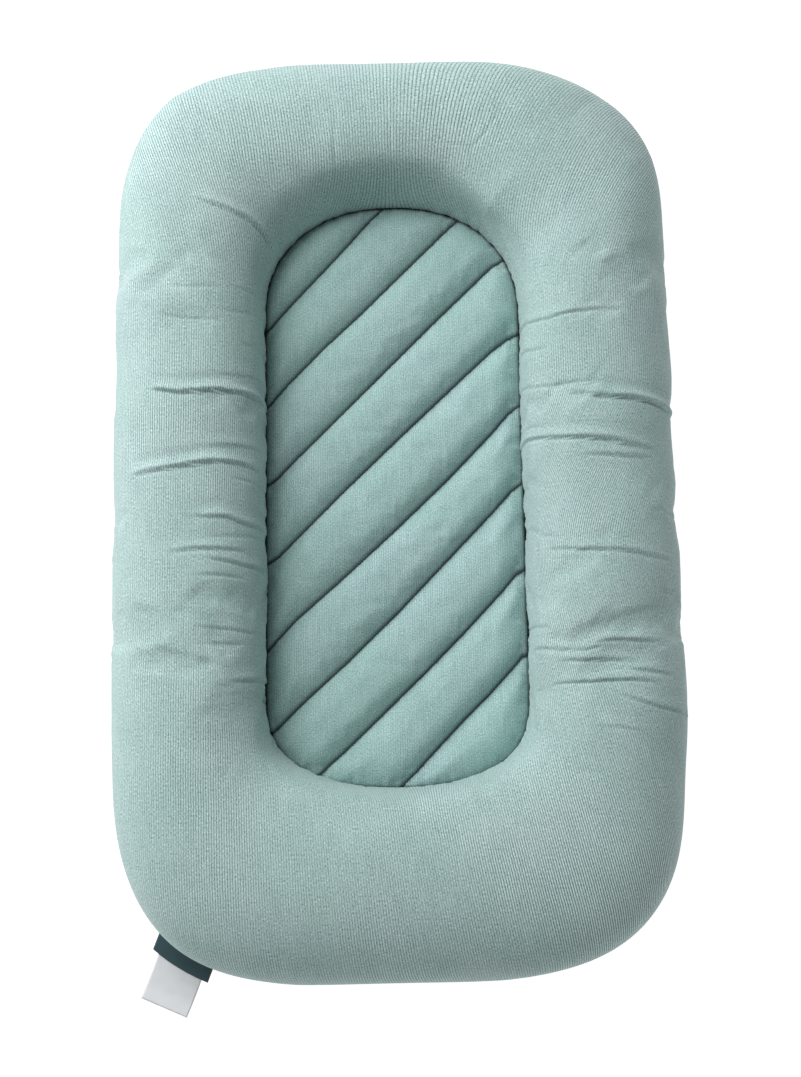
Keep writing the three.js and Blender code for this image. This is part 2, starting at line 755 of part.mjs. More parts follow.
// Pull: a bar through the bridge, two arms, and a tab with a hole
function addZipPull(carriage) {
  const armInner = bridgeWidth / 2 + layerGap;
  const armOuter = armInner + pullArmWidth;
  const barRadius = pullBarSize / 2;
  const bar = new THREE.CylinderGeometry(barRadius, barRadius, armOuter + armOuter, barSides);
  bar.rotateZ(quarterTurn);

  const tabFar = -pullArmLength - pullTabLength + pullTabWidth / 2;
  const shape = new THREE.Shape();
  shape.moveTo(-armOuter, 0);
  shape.lineTo(-armOuter, -pullArmLength + pullArmWidth);
  shape.lineTo(-pullTabWidth / 2, -pullArmLength);
  shape.lineTo(-pullTabWidth / 2, tabFar);
  shape.absarc(0, tabFar, pullTabWidth / 2, Math.PI, Math.PI + Math.PI, false);
  shape.lineTo(pullTabWidth / 2, -pullArmLength);
  shape.lineTo(armOuter, -pullArmLength + pullArmWidth);
  shape.lineTo(armOuter, 0);

  const tab = toSolid(new THREE.ExtrudeGeometry(shape, {
    depth: pullBarSize,
    bevelEnabled: false,
    curveSegments: barSides / 2,
  }).translate(0, 0, -barRadius));
  const eye = toSolid(boxBetween(
    new THREE.Vector3(-armInner, -pullArmLength + pullArmWidth, -cutOverrun),
    new THREE.Vector3(armInner, cutOverrun, cutOverrun),
  ));
  const hole = new THREE.CylinderGeometry(pullHoleSize / 2, pullHoleSize / 2, cutOverrun + cutOverrun, barSides);
  hole.rotateX(quarterTurn).translate(0, tabFar, 0);
  const pull = fromSolid(tab.subtract(eye).subtract(toSolid(hole)).add(toSolid(bar)));
  const part = addPart('zip_pull', pull, nickel, carriage);
  part.position.z = pullAxisHeight;
}

function addZip() {
  const zip = new THREE.Group();
  zip.position.y = padMiddle.y;
  lounger.add(zip);
  addZipSide(1, 'right', zip);
  addZipSide(-1, 'left', zip);
  addZipBottomStop(zip);
  const carriage = new THREE.Group();
  carriage.position.y = sliderRestY;
  zip.add(carriage);
  addZipSlider(carriage);
  addZipPull(carriage);
}

// How far a label has come down at a share of its reach from the seam
function labelDropShare(reach) {
  const last = labelReachShares.length - 1;
  const after = Math.min(last, Math.max(1, labelReachShares.findIndex((share) => share >= reach)));
  const before = after - 1;
  const part = (reach - labelReachShares[before]) / (labelReachShares[after] - labelReachShares[before]);
  return THREE.MathUtils.lerp(labelDropShares[before], labelDropShares[after], part);
}

// A label that hangs out of the outer seam and lies down on the floor, or on the label under it
function labelGeometry(width, length, lift) {
  const middle = stationAt(loopSteps - cornerSteps * labelCornerShare);
  const outward = middle.way.clone().rotateAround(new THREE.Vector2(0, 0), THREE.MathUtils.degToRad(labelLean));
  const sideways = new THREE.Vector2(-outward.y, outward.x);
  const seamAngle = angleAtHeight(outerSeamHeight, 0, true);
  const seamLine = stations.map((station) => {
    const point = skinPoint(station, seamAngle, 0, 0);
    return new THREE.Vector2(point.x, point.y);
  });
  const seamPoint = skinPoint(middle, seamAngle, 0, 0);
  const inside = new THREE.Vector2(seamPoint.x, seamPoint.y).addScaledVector(outward, -labelWidth);
  const far = Math.max(...lineCrossings(seamLine, inside, outward)) + careLabelLength;
  const drop = outerSeamHeight - labelThickness - layerGap - labelThickness;
  const end = length / careLabelLength;
  const reaches = [...labelReachShares.filter((reach) => reach < end), end];
  const sections = spread(-1 / 2, 1 / 2, labelSlices).map((share) => {
    const from = inside.clone().addScaledVector(sideways, share * width);
    const near = Math.max(...lineCrossings(seamLine, from, outward)) + layerGap;
    const lower = reaches.map((reach) => {
      const spot = from.clone().addScaledVector(outward, THREE.MathUtils.lerp(near, far, reach));
      return raised(spot, lift + drop * (1 - labelDropShare(reach)));
    });
    const upper = lower.map((point) => raised(point, point.z + labelThickness)).reverse();
    return [...lower, ...upper];
  });
  return loft(sections, false);
}

function addLabels() {
  addPart('care_label', labelGeometry(careLabelWidth, careLabelLength, 0), whiteSatin);
  addPart('label_band', labelGeometry(labelWidth, labelBandLength, labelThickness + layerGap), darkSatin);
}

addSurroundCover();
addQuiltedFace();
addQuiltWadding();
addQuiltBacking();
addQuiltStitches();
addPadSeamBinding();
addOuterSeamBinding();
addUnderside();
addZip();
addLabels();
addCasingTop();
addCasingBottom();
addRingFill();
addPadCore();

// The label reaches past the ring, so the group is shifted to bring the middle of the whole part to the origin
const extent = new THREE.Box3().setFromObject(lounger);
lounger.position.x = -(extent.min.x + extent.max.x) / 2;
lounger.position.y = -(extent.min.y + extent.max.y) / 2;
lounger.position.z = -extent.min.z;

export default lounger;
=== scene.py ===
import math

import bmesh
import bpy
import numpy as np
from mathutils import Matrix, Vector
from mathutils.geometry import delaunay_2d_cdt


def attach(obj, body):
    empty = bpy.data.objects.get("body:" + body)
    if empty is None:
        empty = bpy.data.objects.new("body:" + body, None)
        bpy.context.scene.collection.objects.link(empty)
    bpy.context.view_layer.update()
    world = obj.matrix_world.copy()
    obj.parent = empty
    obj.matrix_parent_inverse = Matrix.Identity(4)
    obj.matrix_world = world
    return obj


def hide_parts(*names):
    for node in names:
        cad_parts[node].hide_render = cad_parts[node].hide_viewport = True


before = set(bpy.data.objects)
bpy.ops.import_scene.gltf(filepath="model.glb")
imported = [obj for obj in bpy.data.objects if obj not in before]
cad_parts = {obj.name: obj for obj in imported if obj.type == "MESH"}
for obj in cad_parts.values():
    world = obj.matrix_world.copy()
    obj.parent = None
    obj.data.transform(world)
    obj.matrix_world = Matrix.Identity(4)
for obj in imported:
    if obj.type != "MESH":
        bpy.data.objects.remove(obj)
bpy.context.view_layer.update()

chance = np.random.default_rng(11)
print("lounger: CAD frame loaded")

# Camera, floor and lights

photoView = {
    "aim": (0.0045, -0.0169, 0.060),
    "distance": 1.743,
    "tilt": 12.3,       # degrees from straight down, towards the foot end
    "roll": 0.96,       # the head end leans to the left in the picture
    "lens": 65.2,
    "sensor": 36,
    "sight": 30,
}


def addObject(name, data):
    holder = bpy.data.objects.new(name, data)
    bpy.context.scene.collection.objects.link(holder)
    return holder


def setCamera(values):
    tilt = math.radians(values["tilt"])
    turn = Matrix.Rotation(tilt, 4, "X") @ Matrix.Rotation(-math.radians(values["roll"]), 4, "Z")
    camera = bpy.data.cameras.new("photoCamera")
    camera.lens = values["lens"]
    camera.sensor_width = values["sensor"]
    camera.clip_end = values["sight"]
    holder = addObject("photoCamera", camera)
    back = Vector((0, -math.sin(tilt), math.cos(tilt)))
    holder.matrix_world = Matrix.Translation(Vector(values["aim"]) + back * values["distance"]) @ turn
    bpy.context.scene.camera = holder


studio = {
    "floorSize": 40,
    "floorHeight": -0.0004,
    # the floor shines a little, as a light table does
    "floor": {"Base Color": (0.24, 0.24, 0.24, 1), "Roughness": 0.9, "Emission Color": (1, 1, 1, 1),
              "Emission Strength": 0.95},
    "world": {"Color": (0.96, 0.985, 1.0, 1), "Strength": 0.27},
    "lights": {
        "keyLight": {"place": (-1.7, 1.5, 1.15), "size": 1.6, "power": 35, "colour": (0.98, 0.99, 1)},
        "highLight": {"place": (-1.2, 1.0, 2.2), "size": 1.6, "power": 40, "colour": (1, 1, 1)},
    },
    "lightAim": (0, 0, 0.05),
}


def addLight(name, values):
    light = bpy.data.lights.new(name, "AREA")
    light.shape = "DISK"
    light.size = values["size"]
    light.energy = values["power"]
    light.color = values["colour"]
    holder = addObject(name, light)
    holder.location = values["place"]
    way = Vector(studio["lightAim"]) - Vector(values["place"])
    holder.rotation_euler = way.to_track_quat("-Z", "Y").to_euler()


# Sets a node's inputs, each to a plain value or to what another node gives out
def setInputs(node, values):
    for name, value in values.items():
        if isinstance(value, Signal):
            value.tree.links.new(value.socket, node.inputs[name])
        else:
            node.inputs[name].default_value = value


def setStudio(values):
    scene = bpy.context.scene
    scene.view_settings.view_transform = "Standard"
    scene.view_settings.look = "None"
    world = bpy.data.worlds.new("studioWorld")
    world.use_nodes = True
    setInputs(world.node_tree.nodes["Background"], values["world"])
    scene.world = world
    for name, light in values["lights"].items():
        addLight(name, light)
    bpy.ops.object.select_all(action="DESELECT")
    bpy.ops.mesh.primitive_plane_add(size=values["floorSize"], location=(0, 0, values["floorHeight"]))
    floor = bpy.context.object
    floor.name = "studioFloor"
    paper = bpy.data.materials.new("paleFloor")
    paper.use_nodes = True
    setInputs(paper.node_tree.nodes["Principled BSDF"], values["floor"])
    floor.data.materials.append(paper)


# Materials

fullTurn = 6.2832


# Adds a node, and gives what it puts out
def signal(tree, kind, values, output=0, **settings):
    node = tree.nodes.new(kind)
    for key, value in settings.items():
        setattr(node, key, value)
    setInputs(node, values)
    return Signal(node.outputs[output])


# What a node puts out, which adds up and multiplies like a number
class Signal:
    def __init__(self, socket):
        self.socket = socket
        self.tree = socket.id_data

    def math(self, operation, other=0.0):
        return signal(self.tree, "ShaderNodeMath", {0: self, 1: other}, operation=operation)

    def __add__(self, other):
        return self.math("ADD", other)

    def __sub__(self, other):
        return self.math("SUBTRACT", other)

    def __rsub__(self, other):
        return signal(self.tree, "ShaderNodeMath", {0: other, 1: self}, operation="SUBTRACT")

    def __mul__(self, other):
        return self.math("MULTIPLY", other)

    def __truediv__(self, other):
        return self.math("DIVIDE", other)


def parts(place):
    first = signal(place.tree, "ShaderNodeSeparateXYZ", {"Vector": place})
    return [Signal(socket) for socket in first.socket.node.outputs]


def joined(x, y):
    return signal(x.tree, "ShaderNodeCombineXYZ", {"X": x, "Y": y}, "Vector")


def noise(place, scale, detail=2.0, roughness=0.5):
    values = {"Vector": place, "Scale": scale, "Detail": detail, "Roughness": roughness}
    return signal(place.tree, "ShaderNodeTexNoise", values, "Fac")


# Spreads the stretch from low to high over the whole way from the least value to 1
def spread(value, low, high, least=0.0):
    values = {"Value": value, "From Min": low, "From Max": high, "To Min": least}
    return signal(value.tree, "ShaderNodeMapRange", values, "Result")


def toLinear(colour):
    shares = [c / 255 for c in colour]
    return tuple(c / 12.92 if c <= 0.04045 else ((c + 0.055) / 1.055) ** 2.4 for c in shares) + (1.0,)


# Mixes two colours, each a screen colour or what a node puts out
def mix(factor, *pair):
    first, second = [colour if isinstance(colour, Signal) else toLinear(colour) for colour in pair]
    return signal(factor.tree, "ShaderNodeMix", {0: factor, 6: first, 7: second}, 2, data_type="RGBA")


def bump(height, distance, strength):
    values = {"Height": height, "Distance": distance, "Strength": strength}
    return signal(height.tree, "ShaderNodeBump", values, "Normal")


# A new material, and where it is read: along the piece's own map, or in the object's own space
def startMaterial(name, mapped=False):
    material = bpy.data.materials.new(name)
    material.use_nodes = True
    if mapped:
        return material, signal(material.node_tree, "ShaderNodeUVMap", {}, "UV", uv_map="cloth")
    return material, signal(material.node_tree, "ShaderNodeTexCoord", {}, "Object")


def finishMaterial(material, colour, roughness, normal, plain):
    values = {"Base Color": colour, "Roughness": roughness, "Normal": normal, **plain}
    setInputs(material.node_tree.nodes["Principled BSDF"], values)
    return material


knitLook = {
    "light": (223, 243, 240),
    "middle": (167, 195, 191),
    "dark": (88, 121, 119),
    "seam": (12, 36, 41),     # painted shade colour, where the cloth dips into a seam
    "ribPitch": 0.00212,      # from one rib to the next
    "loopPitch": 0.0017,      # along a rib, from one loop to the next
    "ribHeight": 0.00046,
    "ribShade": 0.75,
    "ribWander": 0.0012,
    "scales": {"wander": 28, "clouds": 30, "shown": 8, "drift": 9},      # waves in a metre
    "flecksAcross": 1100,
    "flecksAlong": 520,
    "streaksAlong": 34,
    "grooveShadeSpot": (0.19, -0.35, 0),
    "plain": {"Sheen Weight": 0.35, "Sheen Roughness": 0.4, "Sheen Tint": (0.87, 0.95, 0.95, 1),
              "Specular IOR Level": 0.18},
}
quiltLook = {
    **knitLook,
    "light": (213, 240, 236),
    "middle": (158, 191, 187),
    "dark": (88, 124, 121),
    "ribHeight": 0.00022,
    "ribShade": 0.34,
    "flecksAcross": 1050,
    "flecksAlong": 760,
}


def knitMaterial(name, look):
    material, place = startMaterial(name, True)
    across, along, _ = parts(place)
    # place inside one rib, 0 at its middle and 1 at the groove beside it
    ribs = (across + noise(place, look["scales"]["wander"]) * look["ribWander"]) / look["ribPitch"]
    inRib = (ribs.math("FRACT") - 0.5).math("ABSOLUTE")
    rounding = (1.0 - (inRib * 2.0).math("POWER", 2.2)).math("MAXIMUM", 0.0).math("SQRT")
    # V-shaped loops along each rib
    loops = ((along / look["loopPitch"] + inRib * 0.9) * fullTurn).math("SINE")
    height = rounding * (loops * 0.09 + 0.91)
    # heathered yarn: short flecks along the ribs, and broader cloudy patches
    flecks = noise(joined(across * look["flecksAcross"], along * look["flecksAlong"]), 1.0, 2, 0.55)
    clouds = noise(place, look["scales"]["clouds"], 3, 0.6)
    # a lone rib runs lighter or darker for a few centimetres
    streaks = noise(joined(ribs.math("FLOOR"), along * look["streaksAlong"]), 1.0, 1)
    tone = spread(flecks, 0.26, 0.74) * 0.50 + clouds * 0.14 + streaks * 0.16
    # painted shade in the grooves between the ribs: it shows more in some places than in others, and most round one
    # spot at the foot end's right
    ends = {0: place, 1: look["grooveShadeSpot"]}
    offset = signal(place.tree, "ShaderNodeVectorMath", ends, "Value", operation="DISTANCE")
    shown = spread(noise(place, look["scales"]["shown"]), 0.35, 0.65, 0.25) + spread(offset, 0.16, 0.03)
    tone = tone + ((rounding - 0.8) * (shown * look["ribShade"]) + 0.10)
    ramp = signal(place.tree, "ShaderNodeValToRGB", {"Fac": tone}, "Color")
    stops = ramp.socket.node.color_ramp.elements
    stops[0].position, stops[0].color = 0.12, toLinear(look["dark"])
    stops[1].position, stops[1].color = 0.88, toLinear(look["light"])
    stops.new(0.5).color = toLinear(look["middle"])
    # the yarn's colour drifts a little between green and blue
    values = {"Hue": 0.514, "Saturation": 0.90, "Color": ramp}
    bluer = signal(place.tree, "ShaderNodeHueSaturation", values, "Color")
    colour = mix(spread(noise(place, look["scales"]["drift"]), 0.35, 0.65), ramp, bluer)
    # painted shade: the colour is mixed towards the seam colour where the seamShade attribute says, beside the pad's
    # seam and along the quilt's rows
    paintedSeamShade = signal(place.tree, "ShaderNodeAttribute", {}, "Fac", attribute_name="seamShade")
    colour = mix(paintedSeamShade, colour, look["seam"])
    return finishMaterial(material, colour, 0.93, bump(height, look["ribHeight"], 0.8), look["plain"])


weaveLooks = {
    "lining": {"light": (182, 202, 198), "dark": (148, 172, 168), "pitch": 0.0011, "height": 0.00014, "rough": 0.9},
    "casing": {"light": (244, 243, 238), "dark": (222, 221, 214), "pitch": 0.0009, "height": 0.00012, "rough": 0.9},
    "binding": {"light": (52, 78, 79), "dark": (24, 44, 47), "pitch": 0.0013, "height": 0.0002, "rough": 0.88},
    "tape": {"light": (150, 176, 171), "dark": (112, 140, 136), "pitch": 0.0008, "height": 0.00016, "rough": 0.8},
}


def weaveMaterial(name, look):
    material, place = startMaterial(name)
    x, y, z = parts(place)
    step = math.pi / look["pitch"]
    over = ((x + z * 0.6) * step).math("SINE") * ((y + z * 0.6) * step).math("SINE")
    tone = over * 0.22 + (noise(place, 60, 3) * 0.5 + noise(place, 900) * 0.5)
    colour = mix(spread(tone, 0.2, 0.85), look["dark"], look["light"])
    plain = {"Sheen Weight": 0.12, "Specular IOR Level": 0.2}
    return finishMaterial(material, colour, look["rough"], bump(over, look["height"], 0.6), plain)


def fibreMaterial(name, dark, light):
    material, place = startMaterial(name)
    tone = noise(place, 700, 4, 0.7) * 0.6 + noise(place, 45, 3) * 0.4
    colour = mix(spread(tone, 0.3, 0.7), dark, light)
    return finishMaterial(material, colour, 0.97, bump(tone, 0.0025, 0.6), {"Sheen Weight": 0.3})


def threadMaterial(name, dark, light, pitch=0.0011):
    material, place = startMaterial(name)
    x, y, z = parts(place)
    strand = ((x * 1.7 + (y + z * 2.3)) * (fullTurn / pitch)).math("SINE")
    colour = mix(spread(strand, -1, 1), dark, light)
    return finishMaterial(material, colour, 0.6, bump(strand, 0.00008, 0.7), {"Sheen Weight": 0.2})


def satinMaterial(name, dark, light, rough, warpPitch=0.00045, weftPitch=0.0009):
    material, place = startMaterial(name, True)
    across, along, _ = parts(place)
    warp, weft = (across * (fullTurn / warpPitch)).math("SINE"), (along * (fullTurn / weftPitch)).math("SINE")
    threads = warp * 0.5 + weft * 0.5
    tone = threads * 0.2 + noise(place, 120, 3) * 0.4
    colour = mix(spread(tone, -0.1, 0.5), dark, light)
    plain = {"Sheen Weight": 0.15, "Anisotropic": 0.4}
    return finishMaterial(material, colour, rough, bump(threads, 0.00006, 0.6), plain)


def metalMaterial(name, dark, light):
    material, place = startMaterial(name)
    brushed = signal(place.tree, "ShaderNodeMapping", {"Vector": place, "Scale": (1, 0.06, 1)}, "Vector")
    marks = noise(brushed, 3800, 3, 0.6)
    colour = mix(spread(noise(place, 420, 3, 0.7), 0.35, 0.7), light, dark)
    return finishMaterial(material, colour, spread(marks, -0.4, 2.4), bump(marks, 0.00003, 0.5), {"Metallic": 1.0})


def coilMaterial(name, dark, light):
    material, place = startMaterial(name)
    streaks = noise(place, 1500, 3, 0.6)
    tone = streaks * 0.5 + noise(place, 90) * 0.5
    colour = mix(spread(tone, 0.3, 0.7), dark, light)
    plain = {"Specular IOR Level": 0.5}
    return finishMaterial(material, colour, spread(streaks, -0.6, 1.8), bump(streaks, 0.00003, 0.4), plain)


setCamera(photoView)
setStudio(studio)
print("lounger: camera, floor and lights")
knit = knitMaterial("ribbedKnit", knitLook)
quiltKnit = knitMaterial("quiltedKnit", quiltLook)
lining = weaveMaterial("liningCloth", weaveLooks["lining"])
casingCloth = weaveMaterial("whiteCasing", weaveLooks["casing"])
bindingCloth = weaveMaterial("seamBinding", weaveLooks["binding"])
tapeCloth = weaveMaterial("zipTape", weaveLooks["tape"])
fibre = fibreMaterial("fibreFill", (214, 212, 205), (250, 249, 245))
# the quilt's thread colours are darkened with painted shade of the valleys the thread lies in
quiltThreadInShade = threadMaterial("quiltThreadInShade", (10, 32, 36), (30, 56, 60))
liningThread = threadMaterial("liningThread", (120, 146, 142), (168, 190, 186))
darkSatin = satinMaterial("darkSatin", (33, 60, 67), (50, 82, 88), 0.5)
whiteSatin = satinMaterial("whiteSatin", (228, 229, 232), (246, 247, 248), 0.42)
nickel = metalMaterial("nickel", (158, 161, 163), (196, 198, 199))
coilNylon = coilMaterial("coilNylon", (104, 134, 130), (146, 174, 169))
print("lounger: materials")

# Outlines and section of the lounger, in metres. The ring is measured from its own middle.
shape = {
    "middleY": 0.0138,
    "height": 0.130,
    "ringEdge": {"half": 0.250, "head": 0.418, "foot": -0.418, "headDepth": 0.192, "footDepth": 0.279,
                 "headSquare": 3.2, "footSquare": 3.8},
    "padEdge": {"half": 0.119, "head": 0.291, "foot": -0.254, "headDepth": 0.106, "footDepth": 0.080,
                "headSquare": 2.2, "footSquare": 2.5},
    "cornerSteps": 10,
    "sideSteps": 4,
    "sectionCentre": 0.485,
    "sectionReach": 0.515,
    "sectionMiddle": 0.065,
    "pressed": 0.004,
    "crestFull": 2.28,
    "footFull": 3.2,
    "outerSeam": 0.020,
    "padSeam": 0.045,
    "markSteps": (0, 5, 10, 14, 19, 24),
}
halfSteps = shape["cornerSteps"] * 2 + shape["sideSteps"]
padMiddleY = (shape["padEdge"]["head"] + shape["padEdge"]["foot"]) / 2 + shape["middleY"]


def easeIn(value):
    value = np.clip(value, 0, 1)
    return value * value * (3 - 2 * value)


def bell(value, width):
    return np.exp(-(value / width) ** 2)


# How far along its line each point lies
def runLength(line):
    gaps = np.linalg.norm(np.diff(line, axis=-2), axis=-1)
    return np.concatenate([0 * gaps[..., :1], np.cumsum(gaps, -1)], -1)


# Points in plan, lifted to their heights
def raised(flat, height):
    return np.concatenate([flat, np.broadcast_to(height, flat.shape[:-1])[..., None]], -1)


# Points on the right half of an outline, from the middle of the foot end up to the head end
def halfOutline(edge, steps):
    corners, sides = shape["cornerSteps"], shape["sideSteps"]
    foot = np.pi / 2 * (1 - np.clip(steps / corners, 0, 1))
    head = np.pi / 2 * np.clip((steps - corners - sides) / corners, 0, 1)
    side = np.clip((steps - corners) / sides, 0, 1)
    footCorner, headCorner = edge["foot"] + edge["footDepth"], edge["head"] - edge["headDepth"]
    atFoot, atHead = steps < corners, steps > corners + sides
    cosine = np.where(atFoot, np.cos(foot), np.cos(head)).clip(0, 1)
    power = 2 / np.where(atFoot, edge["footSquare"], edge["headSquare"])
    x = np.where(atFoot | atHead, edge["half"] * cosine ** power, edge["half"])
    yFoot = footCorner - edge["footDepth"] * np.sin(foot) ** (2 / edge["footSquare"])
    yHead = headCorner + edge["headDepth"] * np.sin(head) ** (2 / edge["headSquare"])
    ySide = footCorner + (headCorner - footCorner) * side
    return np.stack([x, np.where(atFoot, yFoot, np.where(atHead, yHead, ySide))], 1)


# Stations round the ring: the pad's edge, the way out from it, and the ring's width there
def stationsAt(steps):
    mirrored = steps > halfSteps
    half = np.where(mirrored, 2 * halfSteps - steps, steps)
    inner, outer = halfOutline(shape["padEdge"], half), halfOutline(shape["ringEdge"], half)
    for edge in (inner, outer):
        edge[:, 0] *= np.where(mirrored, -1.0, 1.0)
        edge[:, 1] += shape["middleY"]
    width = np.linalg.norm(outer - inner, axis=1)
    return {"inner": inner, "way": (outer - inner) / width[:, None], "width": width, "steps": steps}


# Step values that are evenly spaced at a share of the ring's width, all round it or along its right half
def evenSteps(count, share, half=False):
    near = np.sin(np.linspace(0, 1, 60) * np.pi - np.pi / 2) / 2 + 0.5   # closer together at the ends of each corner
    borders = list(zip(shape["markSteps"], shape["markSteps"][1:]))
    marks = np.unique(np.concatenate([[0.0]] + [a + near * (b - a) for a, b in borders]))
    marks = np.unique(np.concatenate([marks, 2 * halfSteps - marks]))
    fine = np.unique(np.concatenate([np.linspace(a, b, 9) for a, b in zip(marks[:-1], marks[1:])]))
    if half:
        fine = fine[fine <= halfSteps + 1e-9]
    stations = stationsAt(fine)
    length = runLength(stations["inner"] + stations["way"] * (stations["width"] * share)[:, None])
    places = np.linspace(0, length[-1], count + 1)
    return np.interp(places if half else places[:-1], length, fine)


def evenStations(count, share, half=False):
    return stationsAt(evenSteps(count, share, half))


def signedPower(value, power):
    return np.sign(value) * np.abs(value) ** power


# Places in plan at distances out from the pad's edge
def outFrom(stations, out):
    return stations["inner"][:, None, :] + stations["way"][:, None, :] * out[:, :, None]


# Points of the ring's skin at angles round its section, 0 at the outer side and a quarter turn at the crest
def skinPoints(stations, angles, inset=0.0, floor=0.0):
    cosine, sine = np.cos(angles)[None, :], np.sin(angles)[None, :]
    full = np.where((sine < 0) & (cosine > 0), shape["footFull"], shape["crestFull"])
    middle = shape["sectionMiddle"]
    rise = np.where(sine < 0, middle + shape["pressed"], shape["height"] - middle)
    width = stations["width"][:, None]
    out = width * shape["sectionCentre"] + (width * shape["sectionReach"] - inset) * signedPower(cosine, 2 / full)
    height = middle + (rise - inset) * signedPower(sine, 2 / full) + 0 * width
    return raised(outFrom(stations, out), np.maximum(height, floor))


# The section angle at which the skin comes down to a height, on its outer or its pad side
def angleAt(height, outerSide, inset=0.0):
    full = shape["footFull"] if outerSide else shape["crestFull"]
    drop = (shape["sectionMiddle"] - height) / (shape["sectionMiddle"] + shape["pressed"] - inset)
    angle = math.asin(drop ** (full / 2))
    return -angle if outerSide else angle + math.pi


# Angles between two others, evenly spaced along the section at the side, or closer together towards the last one
def evenAngles(first, last, count, crowd=0.0):
    fine = np.linspace(first, last, 4000)
    length = runLength(skinPoints(stationsAt(np.array([halfSteps / 2])), fine)[0])
    share = np.linspace(0, 1, count)
    share = share + crowd * share * (1 - share)
    return np.interp(share * length[-1], length, fine)


def slope(grid, axis, closed):
    if closed:
        return np.roll(grid, -1, axis) - np.roll(grid, 1, axis)
    return np.gradient(grid, axis=axis)


# Outward normals of a grid of points that runs round the ring, then up its section
def gridNormals(grid, closed=True, closedSection=False):
    normal = np.cross(slope(grid, 0, closed), slope(grid, 1, closedSection))
    return normal / np.maximum(np.linalg.norm(normal, axis=2, keepdims=True), 1e-12)


# Reads a grid at fractions of its rows or columns, with smooth curves between them
def resample(grid, places, axis, closed):
    grid = np.moveaxis(grid, axis, 0)
    count = len(grid)
    base = np.floor(places).astype(int)
    t = (places - base).reshape((-1,) + (1,) * (grid.ndim - 1))
    near = [base + k for k in (-1, 0, 1, 2)]
    a, b, c, d = [grid[k % count if closed else np.clip(k, 0, count - 1)] for k in near]
    smooth = b + 0.5 * t * (c - a + t * (2 * a - 5 * b + 4 * c - d + t * (3 * (b - c) + d - a)))
    return np.moveaxis(smooth, 0, axis)


# A mesh object from points and faces, with its own map for cloth patterns where one is given
def addMesh(name, points, faces, material, clothMap=None):
    mesh = bpy.data.meshes.new(name)
    points = np.asarray(points, float).reshape(-1, 3)
    mesh.from_pydata(points.tolist(), [], [face.tolist() for face in faces])
    mesh.polygons.foreach_set("use_smooth", np.full(len(mesh.polygons), True))
    if clothMap is not None:
        layer = mesh.uv_layers.new(name="cloth")
        corner = np.zeros(len(mesh.loops), int)
        mesh.loops.foreach_get("vertex_index", corner)
        layer.uv.foreach_set("vector", np.asarray(clothMap, np.float32).reshape(-1, 2)[corner].ravel())
    mesh.materials.append(material)
    mesh.update()
    return addObject(name, mesh)


# Quads over a grid of rows round the ring and columns up the section
def gridFaces(rows, columns, closedRows=True, closedColumns=False, offset=0):
    i = np.arange(rows if closedRows else rows - 1)[:, None]
    j = np.arange(columns if closedColumns else columns - 1)[None, :]
    i2, j2 = (i + 1) % rows, (j + 1) % columns
    corners = (i * columns + j, i2 * columns + j, i2 * columns + j2, i * columns + j2)
    return np.stack([c.ravel() for c in np.broadcast_arrays(*corners)], 1) + offset


def coordinates(piece):
    points = np.zeros(len(piece.data.vertices) * 3, np.float32)
    piece.data.vertices.foreach_get("co", points)
    return points.reshape(-1, 3).astype(float)


def setCoordinates(piece, points):
    piece.data.vertices.foreach_set("co", np.asarray(points, np.float32).ravel())
    piece.data.update()


def selectOnly(piece):
    bpy.ops.object.select_all(action="DESELECT")
    bpy.context.view_layer.objects.active = piece
    piece.select_set(True)


def applyModifier(piece, name):
    selectOnly(piece)
    bpy.ops.object.modifier_apply(modifier=name)


def thicken(piece, thickness, offset=-1.0):
    solid = piece.modifiers.new("thickness", "SOLIDIFY")
    solid.thickness = thickness
    solid.offset = offset
    solid.use_even_offset = True
    applyModifier(piece, "thickness")


# Turns a closed piece's faces outwards, after joining a copied CAD node's triangles into faces
def faceOutward(piece, joining=False):
    selectOnly(piece)
    bpy.ops.object.mode_set(mode="EDIT")
    bpy.ops.mesh.select_all(action="SELECT")
    if joining:
        bpy.ops.mesh.remove_doubles(threshold=0.00001)
        bpy.ops.mesh.dissolve_limited(angle_limit=math.radians(3))
    bpy.ops.mesh.normals_make_consistent(inside=False)
    bpy.ops.object.mode_set(mode="OBJECT")


def smoothBelow(piece, degrees):
    selectOnly(piece)
    bpy.ops.object.shade_smooth_by_angle(angle=math.radians(degrees))


# Turns an open sheet's faces so that most of them look up, or down
def turnFaces(piece, up):
    upward = sum(face.normal.z * face.area for face in piece.data.polygons)
    if upward * up < 0:
        piece.data.flip_normals()


# Blows a closed piece up with Blender's cloth, held at some points, and gives how each point moved
def inflate(name, points, faces, held, values):
    piece = addMesh(name, points, faces, knit)
    before = coordinates(piece)
    group = piece.vertex_groups.new(name="held")
    group.add([int(i) for i in np.flatnonzero(held)], 1.0, "REPLACE")
    cloth = piece.modifiers.new("cloth", "CLOTH")
    settings = cloth.settings
    settings.quality = values["quality"]
    settings.mass = 0.3
    settings.vertex_group_mass = "held"
    settings.tension_stiffness = settings.compression_stiffness = values["stiffness"]
    settings.shear_stiffness = values["stiffness"] / 2
    settings.bending_stiffness = values["bending"]
    settings.use_pressure = True
    settings.uniform_pressure_force = values["pressure"]
    settings.shrink_min = settings.shrink_max = values["shrink"]
    settings.effector_weights.gravity = 0
    cloth.collision_settings.use_collision = False
    cloth.point_cache.frame_start, cloth.point_cache.frame_end = 1, values["frames"]
    for number in range(1, values["frames"] + 1):
        bpy.context.scene.frame_set(number)
    applyModifier(piece, "cloth")
    bpy.context.scene.frame_set(1)
    moved = coordinates(piece) - before
    discard(piece)
    length = np.linalg.norm(moved, axis=1, keepdims=True)
    return moved * np.minimum(1, values["cap"] / np.maximum(length, 1e-9))


def discard(piece):
    mesh = piece.data
    bpy.data.objects.remove(piece)
    bpy.data.meshes.remove(mesh)
